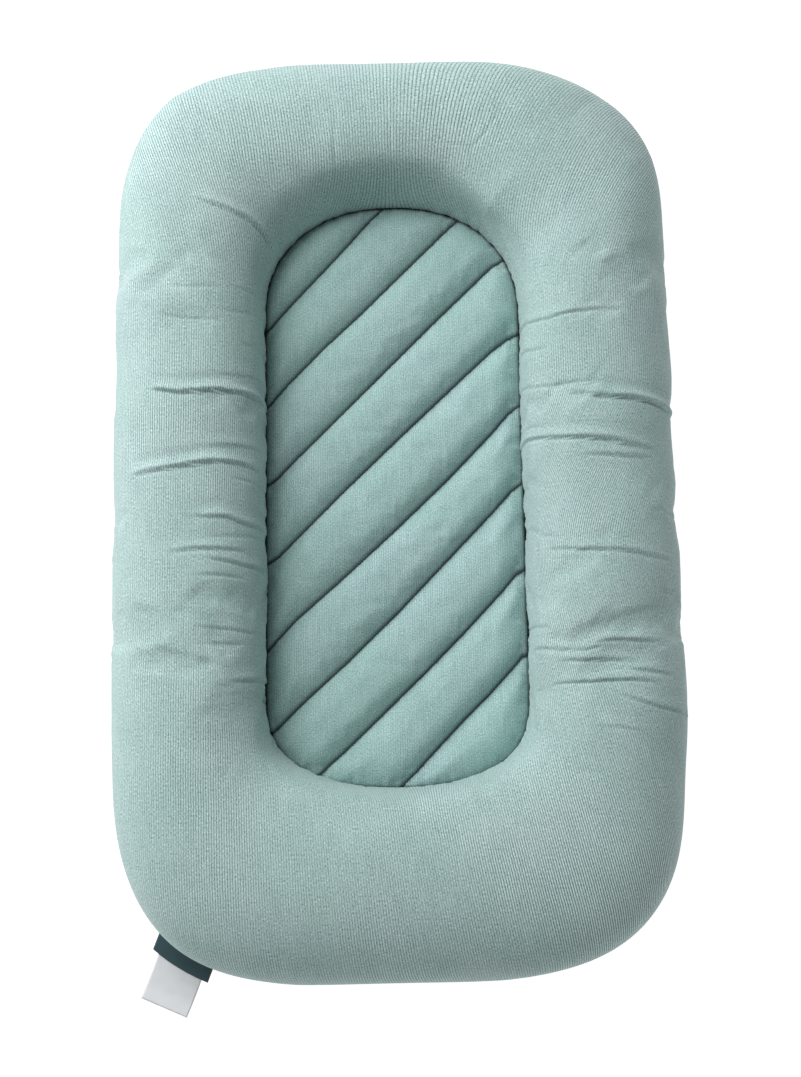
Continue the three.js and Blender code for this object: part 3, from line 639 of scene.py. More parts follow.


# Every finished piece: the CAD nodes it stands for, which are hidden, and the body it rides on. The finish it is
# given is not used.
def settle(piece, slot, *replaced, body="lounger"):
    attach(piece, body)
    if replaced:
        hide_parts(*replaced)


# The stuffed ring
ring = {
    "rows": 2400,
    "columns": 72,
    "innerColumns": 14,
    "thickness": 0.0008,
    "crowd": 0.35,               # columns closer together towards the pad
    "sideCrowd": 0.8,            # rows closer together along the sides, where the creases are
    "wallLean": (0.05, 0.27),    # how the wall above the pad's seam leans away, and how much more at the two ends
    "wallEase": 0.014,
    "crestSteps": (0, 16, 19, 22, 26, 29, 32, 48),
    "crestShifts": (0, 0, -0.011, 0, 0, 0.011, 0, 0),    # how far the crest lies off the ring's middle, outwards
    "simRows": 300,
    "simColumns": 72,
    "inflation": {"frames": 20, "quality": 4, "stiffness": 12.0, "bending": 0.6, "pressure": 4.0, "shrink": -0.012,
                  "cap": 0.02},
    "evenOver": 11,              # coarse rows over which the swelling is taken off again
    "wrinkles": 0.003,
    "unevenness": 0.0009,        # of the stuffing
    "seamPinch": 0.0016,
    "seamPinchReach": 0.0045,
    "seamEase": 0.02,            # how far from its seams the skin is free to wander
    "heldAngle": 0.02,
    "smoothMiddle": 0.03,
    "creaseEase": 0.004,
    "creaseLow": 0.045,          # height at which the creases end on the outer wall
    "creaseRise": 0.05,
    "sideHalf": 0.26,
    "sideMiddle": 0.01,
    "sideEase": 0.08,
    "seamShades": ((0.95, 0.0022), (0.10, 0.008)),     # painted shade on the cloth beside the pad's seam: how dark, and how far up
}

# Creases across the ring: how deep each is, how high the fold on its head side stands against that, how strong it
# starts and ends, and where it runs in plan. Depths and places are in tenths of a millimetre.
creases = [
    (26, 1.3, (0.7, 0.5), (-2068, 1044), (-1868, 999), (-1636, 1025), (-1470, 1041), (-1306, 1036),
     (-1172, 1032)),
    (10, 0.3, (0.1, 0.8), (-1531, 1184), (-1342, 1199), (-1172, 1221)),
    (27, 1.25, (0.4, 0.3), (-2248, 295), (-2094, 317), (-1958, 329), (-1799, 349), (-1636, 382), (-1494, 392),
     (-1342, 391), (-1237, 375)),
    (10, 0.8, (0.1, 0.8), (-1636, 521), (-1382, 549), (-1176, 568)),
    (10, 0.2, (0.1, 0.8), (-1425, 262), (-1297, 255), (-1172, 240)),
    (20, 0.9, (0.1, 0.5), (-1736, -101), (-1596, -104), (-1458, -92), (-1342, -133), (-1251, -144),
     (-1176, -137)),
    (23, 0.55, (0.3, 0.3), (-1914, -417), (-1752, -389), (-1544, -382), (-1324, -378)),
    (9, 0.2, (0.1, 0.6), (-1678, -293), (-1470, -264), (-1176, -231)),
    (20, 0.5, (0.3, 1.0), (-1596, -469), (-1425, -488), (-1297, -509), (-1176, -500)),
    (19, 0.1, (0.3, 0.4), (-1678, -614), (-1494, -607), (-1315, -614)),
    (11, 0.5, (0.1, 0.4), (-1707, -1067), (-1494, -1074), (-1265, -1086), (-1176, -1081)),
    (13, 0.3, (0.2, 0.2), (-1664, -1210), (-1494, -1205), (-1281, -1190)),
    (16, 0.7, (0.1, 1.0), (-1403, -1529), (-1265, -1507), (-1169, -1468)),
    (10, 0.1, (0.2, 0.1), (-2014, 1983), (-1767, 1979), (-1494, 1997)),
    (11, 0.2, (0.2, 0.8), (-1382, 2013), (-1281, 2003), (-1188, 2002)),
    (11, 0.1, (0.2, 0.1), (-2014, 1726), (-1767, 1694), (-1494, 1690)),
    (9, 0.1, (0.2, 0.6), (-1531, 1775), (-1342, 1789), (-1172, 1824)),
    (34, 0.8, (0.1, 0.9), (-1719, 2787), (-1554, 2743), (-1408, 2691), (-1277, 2647), (-1169, 2580),
     (-1110, 2522)),
    (10, 0.2, (0.1, 0.8), (-1324, 1500), (-1172, 1519)),
    (15, 0.2, (0.9, 0.2), (1151, 1134), (1258, 1072), (1403, 1050), (1596, 1057), (1835, 1041)),
    (28, 1.1, (0.2, 0.5), (1544, 976), (1722, 934), (1884, 901), (2068, 897), (2226, 878), (2362, 859),
     (2490, 845)),
    (12, 0.3, (0.6, 0.1), (1192, 733), (1382, 665)),
    (27, 0.95, (0.45, 0.3), (1151, 626), (1244, 603), (1447, 560), (1664, 544), (1868, 523), (2068, 479),
     (2248, 457)),
    (20, 0.6, (0.2, 0.2), (1650, 401), (1816, 391), (2001, 378), (2226, 370)),
    (11, 0.3, (0.9, 0.1), (1163, -162), (1273, -269), (1425, -313)),
    (26, 0.35, (0.3, 0.3), (1352, -407), (1582, -444), (1816, -452), (2014, -470), (2181, -497), (2345, -518)),
    (16, 0.3, (1.0, 0.1), (1157, -1043), (1315, -1101)),
    (22, 0.55, (0.5, 0.2), (1218, -1258), (1392, -1299), (1556, -1313), (1722, -1290)),
    (21, 0.5, (0.2, 0.2), (1722, -1239), (1884, -1232), (2068, -1241), (2215, -1245)),
    (22, 0.5, (0.2, 0.2), (1382, -1389), (1596, -1404), (1799, -1401), (2001, -1410)),
    (20, 0.3, (0.2, 0.4), (1914, -1471), (2094, -1495), (2318, -1522)),
    (25, 0.45, (0.2, 0.3), (1342, -1582), (1543, -1587), (1751, -1579), (2001, -1577), (2192, -1595)),
    (20, 0.4, (0.1, 0.7), (1834, -1681), (2040, -1761), (2213, -1810), (2457, -1841)),
    (9, 0.5, (0.1, 0.1), (1665, -1975), (1859, -1982), (2073, -2018)),
    (12, 0.2, (0.1, 0.1), (1490, -2330), (1751, -2353)),
    (13, 0.8, (0.9, 0.2), (1154, 1723), (1237, 1677), (1382, 1663), (1569, 1692), (1835, 1715), (2068, 1706)),
    (14, 0.3, (1.0, 0.1), (1153, 1462), (1251, 1412), (1352, 1392)),
    (13, 0.3, (0.1, 0.8), (2248, -58), (2378, -88), (2494, -85)),
    (13, 0.3, (0.1, 0.8), (2269, -782), (2370, -798), (2490, -802)),
    (9, 0.2, (0.1, 0.1), (-465, 3662), (-494, 3364), (-483, 3121)),
    (4, 0.2, (0.1, 0.1), (-6, 3549), (21, 3366), (24, 3214)),
    (7, 0.3, (0.1, 0.1), (986, 3593), (875, 3408), (727, 3256)),
]
creaseForm = {
    "perMetre": 10000,
    "valleyWidth": 0.0013,
    "foldPlace": 0.0031,
    "foldNear": 0.0017,
    "foldFar": 0.0036,
    "dipShare": 0.42,
    "dipPlace": 0.0125,
    "dipWidth": 0.0048,
    "beyond": 0.004,
}


# How far a crease lifts or sinks the skin at each place in plan
def creaseLift(flat, depth, foldShare, ends, *line):
    form = creaseForm
    points = np.array(line) / form["perMetre"]
    if points[0, 0] > points[-1, 0]:
        points = points[::-1]
    run = runLength(points)
    best = np.full(len(flat), 1e9)
    side, share, past = np.zeros((3, len(flat)))
    for start, end, before in zip(points[:-1], points[1:], run):
        length = np.linalg.norm(end - start)
        way = (end - start) / length
        local = flat - start
        reached = local @ way
        along = reached.clip(0, length)
        away = local - along[:, None] * way
        distance = np.linalg.norm(away, axis=1)
        closer = distance < best
        best = np.where(closer, distance, best)
        side = np.where(closer, np.sign(away @ np.array([-way[1], way[0]])), side)
        share = np.where(closer, (before + along) / run[-1], share)
        past = np.where(closer, np.abs(reached - along), past)
    signed = best * side
    middle = np.sin(np.pi * share.clip(0, 1)) ** 0.7
    strength = np.maximum(middle, np.where(share < 0.5, *ends) * (1 - middle) + middle)
    fromFold = signed - form["foldPlace"]
    fold = bell(fromFold, np.where(fromFold < 0, form["foldNear"], form["foldFar"]))
    dip = form["dipShare"] * bell(signed - form["dipPlace"], form["dipWidth"])
    valley = np.exp(-np.abs(signed / form["valleyWidth"]) ** 1.6)
    return depth / form["perMetre"] * strength * (foldShare * (fold - dip) - valley) * bell(past, form["beyond"])


def anyTurn():
    return chance.uniform(0, 6.28)


# Slow random waves over the ring, for uneven stuffing
def unevenness(steps, angles, count=26):
    total = np.zeros((len(steps), len(angles)))
    turn = np.linspace(0, 2 * np.pi, len(steps), endpoint=False)[:, None]
    for _ in range(count):
        waves, up = chance.integers(3, 19), chance.uniform(0.4, 2.6)
        total += np.cos(waves * turn + up * angles[None, :] + anyTurn()) / count ** 0.5
    return total


# Small gathers where the ring's cloth is sewn to the pad: closely spaced at the seam, wider apart above it
gathers = [
    {"pitch": 0.0038, "height": 0.0015, "reach": 0.0045},
    {"pitch": 0.0094, "height": 0.0010, "reach": 0.0150},
    {"pitch": 0.0230, "height": 0.0012, "reach": 0.0320},
]


def gatherLift(seamPlace, sideways, distance):
    lift = np.zeros_like(distance)
    total = seamPlace[-1] + seamPlace[1]
    turn = seamPlace / total * 2 * np.pi
    for values in gathers:
        count = int(round(total / values["pitch"]))
        wander = sum(chance.uniform(0.3, 1.1) * np.sin(k * turn + anyTurn()) for k in (5, 11, 17, 29))
        strong = 0.55 + 0.45 * np.tanh(sum(np.sin(k * turn + anyTurn()) for k in (7, 13, 23, 41)))
        wave = 0.5 + 0.5 * np.cos(count * turn + wander)
        size = values["height"] * strong * (0.25 + 0.75 * sideways ** 2)
        lift -= (size * wave ** 1.4)[:, None] * np.exp(-distance / values["reach"])
    return lift


# The whole stuffed ring, coarse, blown up between its seams. The cloth keeps its unevenness, without growing past
# the shape it was cut to.
def ringWrinkles(start, steps, angles, seams, values):
    held = np.tile((angles > seams[1] - values["heldAngle"]) | (angles < seams[0] + values["heldAngle"]), len(steps))
    faces = gridFaces(len(steps), len(angles), True, True)
    moved = inflate("ringToInflate", start, faces, held, values["inflation"]).reshape(start.shape)
    outward = gridNormals(start, True, True)
    swelling = (moved * outward).sum(2)
    reach = values["evenOver"]
    evened = sum(np.roll(swelling, k, 0) for k in range(-reach, reach + 1)) / (2 * reach + 1)
    wrinkles = np.tanh((swelling - evened) / values["wrinkles"]) * values["wrinkles"]
    # the middles of both ends lie smooth
    wrinkles *= easeIn(np.abs(stationsAt(steps)["inner"][:, 0:1]) / values["smoothMiddle"])
    print("lounger: ring inflated, wrinkled by up to", round(float(np.abs(wrinkles).max()) * 1000, 2), "mm")
    return outward * wrinkles[:, :, None]


def makeRing(values):
    seams = angleAt(shape["outerSeam"] + 0.0003, True), angleAt(shape["padSeam"] - 0.001, False)
    simSteps = evenSteps(values["simRows"], 0.5)
    simAngles = evenAngles(seams[0], seams[0] + 2 * math.pi, values["simColumns"] + 1)[:-1]
    start = skinPoints(stationsAt(simSteps), simAngles)
    moved = ringWrinkles(start, simSteps, simAngles, seams, values)
    # the cover's fine grid
    rows, columns = values["rows"], values["columns"]
    every = finePlaces(simSteps, values)
    steps = np.interp(every, np.arange(values["simRows"] + 1), [*simSteps, 2.0 * halfSteps])
    angles = evenAngles(*seams, columns, values["crowd"])
    stations = stationsAt(steps)
    cover = leanWall(skinPoints(stations, angles), stations, angles, values)
    places = np.interp(angles, simAngles, np.arange(len(simAngles)))
    cover = cover + resample(resample(moved, every, 0, True), places, 1, False)
    normal = gridNormals(cover)
    climb = runLength(cover)
    toPad, toFloor = climb[:, -1:] - climb, climb
    fade = np.clip(toPad / values["seamEase"], 0, 1) * np.clip(toFloor / values["seamEase"], 0, 1)
    lift = values["unevenness"] * unevenness(steps, angles) * fade
    # creases flatten out down the outer wall
    onOuter = easeIn((cover[:, :, 2] - values["creaseLow"]) / values["creaseRise"])
    showing = np.clip(toPad / values["creaseEase"], 0, 1) * np.where(angles > math.pi / 2, 1, onOuter)
    for crease in creases:
        lift += creaseLift(cover[:, :, :2].reshape(-1, 2), *crease).reshape(rows, columns) * showing
    lift += gatherLift(runLength(cover[:, -1, :2]), np.abs(stations["way"][:, 0]), toPad)
    lift -= values["seamPinch"] * bell(toFloor, values["seamPinchReach"])
    # painted shade beside the pad's seam, where the ring's wall meets the quilt
    shade = sum(dark * bell(toPad, reach) for dark, reach in values["seamShades"])
    return {"steps": steps, "stations": stations, "angles": angles, "calm": cover, "lift": lift, "climb": climb,
            "cover": cover + normal * lift[:, :, None], "shade": shade}


# Where each fine row lies among the coarse ones: closer together along the sides
def finePlaces(coarse, values):
    fromMiddle = np.abs(stationsAt(coarse)["inner"][:, 1] - values["sideMiddle"])
    beside = easeIn((values["sideHalf"] - fromMiddle) / values["sideEase"])
    crowd = np.concatenate([[0], np.cumsum(1 + values["sideCrowd"] * beside)])
    return np.interp(np.linspace(0, crowd[-1], values["rows"] + 1)[:-1], crowd, np.arange(len(crowd)))


# Takes back the ring's wall above the pad's seam, so that it leans away from the seam instead of hanging over it
def leanWall(cover, stations, angles, values):
    out = ((cover[:, :, :2] - stations["inner"][:, None, :]) * stations["way"][:, None, :]).sum(2)
    lean = values["wallLean"][0] + values["wallLean"][1] * easeIn(np.abs(stations["way"][:, 1:2]))
    line = out[:, -1:] + lean * (cover[:, :, 2] - cover[:, -1:, 2])
    over = np.maximum(0, line - out) * (angles > math.pi / 2)
    back = over * over / (over + values["wallEase"])
    # the crest wanders off the ring's middle at the head end's corners
    upper = easeIn((cover[:, :, 2] - shape["sectionMiddle"]) / (shape["height"] - shape["sectionMiddle"]))
    back += np.interp(stations["steps"], values["crestSteps"], values["crestShifts"])[:, None] * upper
    cover[:, :, :2] += stations["way"][:, None, :] * back[:, :, None]
    return cover


# How the knit lies: its ribs run along the lounger, lean at the foot end's right and fan out at the head end
knitLay = {
    "lean": 0.28,
    "leanFrom": -0.20,
    "leanTo": 0.22,
    "leanEnd": 0.12,
    "leanEase": 0.2,
    "leanMiddle": -0.30,
    "fans": (1.6, 2.7),
    "fanStart": 0.20,
    "fanHalf": 0.16,
    "fanEase": 0.05,
}


def layKnit(u, v):
    lay = knitLay
    lean = lay["lean"] * easeIn((u - lay["leanFrom"]) / (lay["leanTo"] - lay["leanFrom"]))
    lean = lean * easeIn((lay["leanEnd"] - v) / lay["leanEase"])
    beyond = np.maximum(0, v - lay["fanStart"])
    fan = lay["fans"][0] + (lay["fans"][1] - lay["fans"][0]) * easeIn(u / lay["fanHalf"] + 0.5)
    fanned = u * (1 - fan * beyond * beyond / (beyond + lay["fanEase"]))
    return np.stack([fanned + lean * (v - lay["leanMiddle"]), v], -1)


# Seen from above the knit lies straight; down the walls it follows the cloth's length
def ringKnit(made):
    crest = np.argmin(np.abs(made["angles"] - math.pi / 2))
    outward = made["climb"][:, crest:crest + 1] - made["climb"]
    stations, way = made["stations"], made["stations"]["way"]
    top = stations["inner"] + way * (stations["width"] * shape["sectionCentre"])[:, None]
    plan = made["cover"][:, :, :2] - top[:, None, :]
    steep = outward - (plan * way[:, None, :]).sum(2)
    u, v = [made["cover"][:, :, k] + way[:, k:k + 1] * np.abs(way[:, k:k + 1]) * steep for k in (0, 1)]
    return layKnit(u, v)


# The cover: its outer face in full detail, a plainer face inside it, closed along both seams
def makeCover(made, values):
    cover, lay = made["cover"], ringKnit(made)
    rows, columns = cover.shape[:2]
    picked = np.unique(np.linspace(0, columns - 1, values["innerColumns"]).round().astype(int))
    inner = (cover - gridNormals(cover) * values["thickness"])[:, picked]
    points = np.concatenate([cover.reshape(-1, 3), inner.reshape(-1, 3)])
    lays = np.concatenate([lay.reshape(-1, 2), lay[:, picked].reshape(-1, 2)])
    innerFaces = gridFaces(rows, len(picked), offset=rows * columns)[:, ::-1]
    outside, inside = np.arange(rows) * columns, rows * columns + np.arange(rows) * len(picked)
    lowEdge = np.stack([np.roll(outside, -1), outside, inside, np.roll(inside, -1)], 1)
    outside, inside = outside + columns - 1, inside + len(picked) - 1
    highEdge = np.stack([outside, np.roll(outside, -1), np.roll(inside, -1), inside], 1)
    faces = np.concatenate([gridFaces(rows, columns), innerFaces, lowEdge, highEdge])
    return addMesh("surroundCover", points, faces, knit, lays)


# Keeps the painted shade beside a seam, for its material; points that are left over stay unshaded
def paintSeamShade(piece, shade):
    layer = piece.data.attributes.new(name="seamShade", type="FLOAT", domain="POINT")
    every = np.zeros(len(piece.data.vertices), np.float32)
    every[: len(shade)] = shade
    layer.data.foreach_set("value", every)


madeRing = makeRing(ring)
surroundCover = makeCover(madeRing, ring)
paintSeamShade(surroundCover, madeRing["shade"].ravel())
settle(surroundCover, "ribbed_knit", "surround_cover")
print("lounger: surround cover")

# The quilted pad. Its rows run at 45 degrees; v is across them and w along them, from the ring's middle.
quilt = {
    "edgeInset": 0.0018,
    "edgeHeight": 0.0436,
    "edgeReach": 0.0018,
    "edgePoints": 620,
    "seamHeight": 0.045,
    "thickness": 0.001,
    "rows": [-0.200, -0.146, -0.092, -0.038, 0.016, 0.070, 0.124, 0.178],
    # how far each row lies from its regular place, at shares of its length, as it was sewn
    "bendPlaces": [0, 0.05, 0.12, 0.3, 0.5, 0.7, 0.88, 0.95, 1],
    "bends": [
        [-0.0002, -0.0011, -0.0021, -0.0036, -0.0048, -0.0065, -0.0086, -0.0084, -0.0081],
        [-0.0026, -0.0041, -0.0052, -0.0059, -0.0046, -0.0046, -0.0045, -0.0047, -0.0038],
        [-0.0058, -0.0037, -0.0040, -0.0040, -0.0042, -0.0044, -0.0038, -0.0036, -0.0004],
        [-0.0088, -0.0057, -0.0057, -0.0060, -0.0049, -0.0032, -0.0014, 0.0012, 0.0055],
        [-0.0058, -0.0071, -0.0078, -0.0043, -0.0014, -0.0001, -0.0013, -0.0032, -0.0011],
        [-0.0056, -0.0051, -0.0051, -0.0022, -0.0013, -0.0027, -0.0040, -0.0053, -0.0034],
        [-0.0046, -0.0041, -0.0026, -0.0014, -0.0003, -0.0004, -0.0018, -0.0035, -0.0003],
        [0.0012, 0.0003, 0.0009, 0.0, -0.0006, -0.0002, -0.0013, -0.0025, 0.0011],
    ],
    "valley": 0.001,
    "puff": 0.0104,
    "shoulder": 0.37,        # share of a channel over which its side rises
    "shadeReach": (0.0016, 0.0008),      # of the painted shade line in a valley, on its head side and its foot side
    "edgeShades": ((0.9, 0.0020), (0.06, 0.008)),     # painted shade beside the pad's seam, where the ring shades the pad: how dark, and how far in
    # painted shade on each row's head side, the channel's flank that faces away from the light: how dark, and how far
    "valleyShade": (0.17, 0.008),
    "darkest": 0.955,
    "lineGap": 0.0010,
    "pinchReach": 0.030,
    "pitch": 0.054,
    "acrossSteps": 26,
    "alongStep": 0.0026,
    "tipTrim": 0.001,
    "edgeTrim": 0.0011,
    "edgeEase": 0.01,
    "underDrop": 0.008,
    "inflation": {"frames": 20, "quality": 4, "stiffness": 10.0, "bending": 0.3, "pressure": 4.0, "shrink": -0.01,
                  "cap": 0.0008},
    "pucker": 0.00035,
    "puckerReach": 0.006,
    "puckerWaves": ((0.0068, 120), (0.0103, -90), (0.0171, 60)),      # how far apart along a row, and how slanted
    "rimPucker": 0.00045,
    "rimPlace": 0.005,
    "rimWaves": (71, 113, 167, 229),      # round the whole edge
    "mapScale": 1.03,
}
rootHalf = math.sqrt(0.5)


def toRows(flat):
    x, y = flat[:, 0], flat[:, 1] - shape["middleY"]
    return np.stack([(x - y) * rootHalf, (x + y) * rootHalf], 1)


def fromRows(vw):
    return np.stack([(vw[:, 0] + vw[:, 1]) * rootHalf, (vw[:, 1] - vw[:, 0]) * rootHalf + shape["middleY"]], 1)


def padOutline(inset, count):
    stations = evenStations(count, 0.0)
    return stations["inner"] - stations["way"] * inset


# Distance from each point to a closed outline, and the nearest outline point's index
def outlineDistance(points, outline):
    squared = [((part[:, None, :] - outline[None, :, :]) ** 2).sum(2) for part in np.array_split(points, 12)]
    best = np.concatenate([np.sqrt(part.min(1)) for part in squared])
    return best, np.concatenate([part.argmin(1) for part in squared])


def insideOutline(points, outline):
    inside = np.zeros(len(points), bool)
    for a, b in zip(outline, np.roll(outline, -1, 0)):
        crosses = (a[1] > points[:, 1]) != (b[1] > points[:, 1])
        if crosses.any():
            x = a[0] + (points[crosses, 1] - a[1]) / (b[1] - a[1]) * (b[0] - a[0])
            inside[np.flatnonzero(crosses)[points[crosses, 0] < x]] ^= True
    return inside


# Points and triangles over the pad, with whole lines of points along every stitch row
def padSheet(outline, acrossSteps, alongStep):
    edge = toRows(outline)
    lows, highs = edge[:, 0].min(), edge[:, 0].max()
    borders = [lows, *quilt["rows"], highs]
    across = [np.array([row + side * quilt["lineGap"] for row in quilt["rows"] for side in (-1, 1)])]
    for first, last in zip(borders[:-1], borders[1:]):
        count = max(3, int(round(acrossSteps * (last - first) / quilt["pitch"])))
        share = np.arange(count) / count
        share = share - 0.10 * np.sin(2 * np.pi * share) / (2 * np.pi) * 2
        across.append(first + (last - first) * share)
    across = np.unique(np.concatenate(across))
    across = across[across > lows + quilt["tipTrim"]]
    spots = np.arange(edge[:, 1].min(), edge[:, 1].max(), alongStep)
    grid = np.concatenate([np.stack([np.full(len(spots), v), spots + (k % 2) * alongStep / 2], 1)
                           for k, v in enumerate(across)])
    flat = fromRows(grid)
    keep = insideOutline(flat, outline) & (outlineDistance(flat, outline)[0] > quilt["edgeTrim"])
    flat, grid = flat[keep], grid[keep]
    count = len(outline)
    lines = [(i, (i + 1) % count) for i in range(count)]
    for row in quilt["rows"]:
        on = np.flatnonzero(np.abs(grid[:, 0] - row) < 1e-7)
        on = on[np.argsort(grid[on, 1])] + count
        lines += list(zip(on[:-1].tolist(), on[1:].tolist()))
    points = [Vector(p) for p in np.concatenate([outline, flat]).tolist()]
    made = delaunay_2d_cdt(points, lines, [list(range(count))], 1, 1e-7)
    return np.array([tuple(p) for p in made[0]]), np.array(made[2])


def quiltHeights(flat, outline):
    distance, nearest = outlineDistance(flat, outline)
    pitch = quilt["rows"][1] - quilt["rows"][0]
    place = ((toRows(flat)[:, 0] - quilt["rows"][0]) / pitch) % 1
    wave = 1 - (1 - (np.minimum(place, 1 - place) / quilt["shoulder"]).clip(0, 1)) ** 2
    pinch = 1 - (1 - np.clip(distance / quilt["pinchReach"], 0, 1)) ** 2
    height = quilt["seamHeight"] + pinch * (quilt["valley"] + quilt["puff"] * wave)
    height -= (quilt["seamHeight"] - quilt["edgeHeight"]) * bell(distance, quilt["edgeReach"])
    return height, distance, nearest


# Where a row at any place across the pad meets its edge, at its left and at its right end
def rowEnds(across, outline):
    edge = toRows(outline)
    edge = np.roll(edge, -int(edge[:, 0].argmax()), 0)
    edge = np.concatenate([edge, edge[:1]])
    turn = int(edge[:, 0].argmin())
    right = np.interp(across, edge[: turn + 1, 0][::-1], edge[: turn + 1, 1][::-1])
    left = np.interp(across, edge[turn:, 0], edge[turn:, 1])
    return left, right


# Moves the sheet in plan so that its rows lie as they were sewn, and its edge stays on the seam
def asSewn(flat, outline):
    across, along = toRows(flat).T
    left, right = rowEnds(across, outline)
    share = ((along - left) / np.maximum(right - left, 1e-6)).clip(0, 1)
    edge = toRows(outline)[:, 0]
    places = np.array([edge.min(), *quilt["rows"], edge.max()])
    straight = np.zeros((1, len(share)))
    bends = [np.interp(share, quilt["bendPlaces"], bend) for bend in quilt["bends"]]
    bends = np.concatenate([straight, bends, straight])
    before = (np.searchsorted(places, across, "right") - 1).clip(0, len(places) - 2)
    t = (across - places[before]) / (places[before + 1] - places[before])
    point = np.arange(len(flat))
    across = across + bends[before, point] * (1 - t) + bends[before + 1, point] * t
    left, right = rowEnds(across, outline)
    return fromRows(np.stack([across, left + share * (right - left)], 1))


# A closed cushion, the sheet and one face under it, blown up between its rows
def puffedUp(points, faces, edge, onRow, values):
    under = points[edge] - [0, 0, values["underDrop"]]
    last = len(points) + len(edge)
    here = np.arange(len(points), last)
    beside = np.roll(here, -1)
    walls = np.stack([np.roll(edge, -1), edge, here, beside], 1)
    base = np.stack([here, np.full(len(edge), last), beside], 1)
    held = np.concatenate([onRow, np.ones(len(edge) + 1, bool)])
    held[edge] = True
    every = np.concatenate([points, under, under.mean(0)[None]])
    moved = inflate("quiltToInflate", every, [*faces, *walls, *base], held, values["inflation"])[: len(points)]
    print("lounger: quilt inflated, moved up to", round(float(np.abs(moved).max()) * 1000, 2), "mm")
    return moved


def makeQuilt(values):
    outline = padOutline(values["edgeInset"], values["edgePoints"])
    flat, faces = padSheet(outline, values["acrossSteps"], values["alongStep"])
    height, distance, nearest = quiltHeights(flat, outline)
    v, w = toRows(flat).T
    rows = np.array(values["rows"])
    toRow = np.abs(v[:, None] - rows[None, :]).min(1)
    onRow = toRow < 1e-6
    points = raised(asSewn(flat, outline), height)
    edge = np.flatnonzero(distance < 1e-6)
    moved = puffedUp(points, faces, edge[np.argsort(nearest[edge])], onRow, values)
    points = points + moved * easeIn(distance / values["edgeEase"])[:, None]
    # small puckers beside the stitches and round the seam
    near = np.exp(-toRow / values["puckerReach"]) * easeIn(distance / values["edgeEase"])
    ripple = sum(np.sin(w * 2 * np.pi / pitch + v * slant + anyTurn()) for pitch, slant in values["puckerWaves"])
    points[:, 2] += values["pucker"] * near * ripple * (toRow > 1e-6)
    turn = nearest / len(outline) * 2 * np.pi
    rim = sum(np.sin(k * turn + anyTurn()) for k in values["rimWaves"])
    points[:, 2] += values["rimPucker"] * rim * bell(distance - values["rimPlace"], values["rimPlace"])
    # painted shade: a dark line along each stitch row, wider on its head side, a band beside the pad's seam, and a
    # soft band on each row's head side, where the channel's flank faces away from the light
    below = v > rows[np.abs(v[:, None] - rows[None, :]).argmin(1)]
    shade = np.exp(-np.abs(toRow / np.where(below, *values["shadeReach"][::-1])) ** 1.6)
    for dark, reach in values["edgeShades"]:
        shade += dark * bell(distance, reach)
    shade += values["valleyShade"][0] * bell(toRow, values["valleyShade"][1]) * ~below
    shade = shade.clip(0, values["darkest"])
    return {"points": points, "faces": faces, "onRow": onRow, "v": v, "w": w, "shade": shade}


madeQuilt = makeQuilt(quilt)
flatLay = madeQuilt["points"][:, :2] * quilt["mapScale"]
quiltedFace = addMesh("quiltedFace", madeQuilt["points"], madeQuilt["faces"], quiltKnit, flatLay)
paintSeamShade(quiltedFace, madeQuilt["shade"])
thicken(quiltedFace, quilt["thickness"])
settle(quiltedFace, "quilted_knit", "quilted_face")
print("lounger: quilted face,", len(madeQuilt["points"]), "points")

# Stitches in the valleys: one stitch is modelled, then copied along each row
stitching = {"pitch": 0.0034, "length": 0.0032, "width": 0.0014, "sunk": 0.0003, "endMargin": 0.0016, "up": (0, 0, 1)}


# One stitch lying along x: a short thread that dips into the cloth at both ends
def stitchModel(values):
    half = values["length"] / 2
    bpy.ops.object.select_all(action="DESELECT")
    bpy.ops.mesh.primitive_cylinder_add(vertices=6, radius=values["width"] / 2, depth=values["length"],
                                        rotation=(0, math.pi / 2, 0))
    model = bpy.context.object
    bpy.ops.object.transform_apply(location=True, rotation=True, scale=True)
    mesh = bmesh.new()
    mesh.from_mesh(model.data)
    longEdges = [e for e in mesh.edges if abs(e.verts[0].co.x - e.verts[1].co.x) > half]
    bmesh.ops.subdivide_edges(mesh, edges=longEdges, cuts=3, use_grid_fill=True)
    for vert in mesh.verts:
        share = abs(vert.co.x) / half
        vert.co.y *= 1 - 0.55 * share ** 4
        vert.co.z = vert.co.z * (1 - 0.55 * share ** 4) - values["width"] * 0.75 * share ** 2.5
    bmesh.ops.triangulate(mesh, faces=[f for f in mesh.faces if len(f.verts) > 4])
    mesh.to_mesh(model.data)
    mesh.free()
    made = coordinates(model), [np.array(f.vertices) for f in model.data.polygons]
    discard(model)
    return made


# Copies a model along a line of points, its x along the line and its z up
def copyAlong(name, line, model, values, material):
    points, faces = model
    length = runLength(line)
    count = int((length[-1] - 2 * values["endMargin"]) / values["pitch"])
    margin = (length[-1] - (count - 1) * values["pitch"]) / 2
    allPoints, allFaces = [], []
    for number in range(count):
        middle = margin + number * values["pitch"]
        reach = middle + np.array([-1, 1]) * values["length"] / 2
        start, end = np.stack([np.interp(reach, length, line[:, k]) for k in range(3)], 1)
        x = (end - start) / np.linalg.norm(end - start)
        y = np.cross(values["up"], x)
        y /= np.linalg.norm(y)
        wobble = chance.uniform(-0.06, 0.06)
        x, y = x * math.cos(wobble) + y * math.sin(wobble), y * math.cos(wobble) - x * math.sin(wobble)
        z = np.cross(x, y)
        turned = points @ np.stack([x, y, z])
        allPoints.append(turned + (start + end) / 2 + z * (values["width"] / 2 - values["sunk"]))
        allFaces += [face + number * len(points) for face in faces]
    return addMesh(name, np.concatenate(allPoints), allFaces, material)


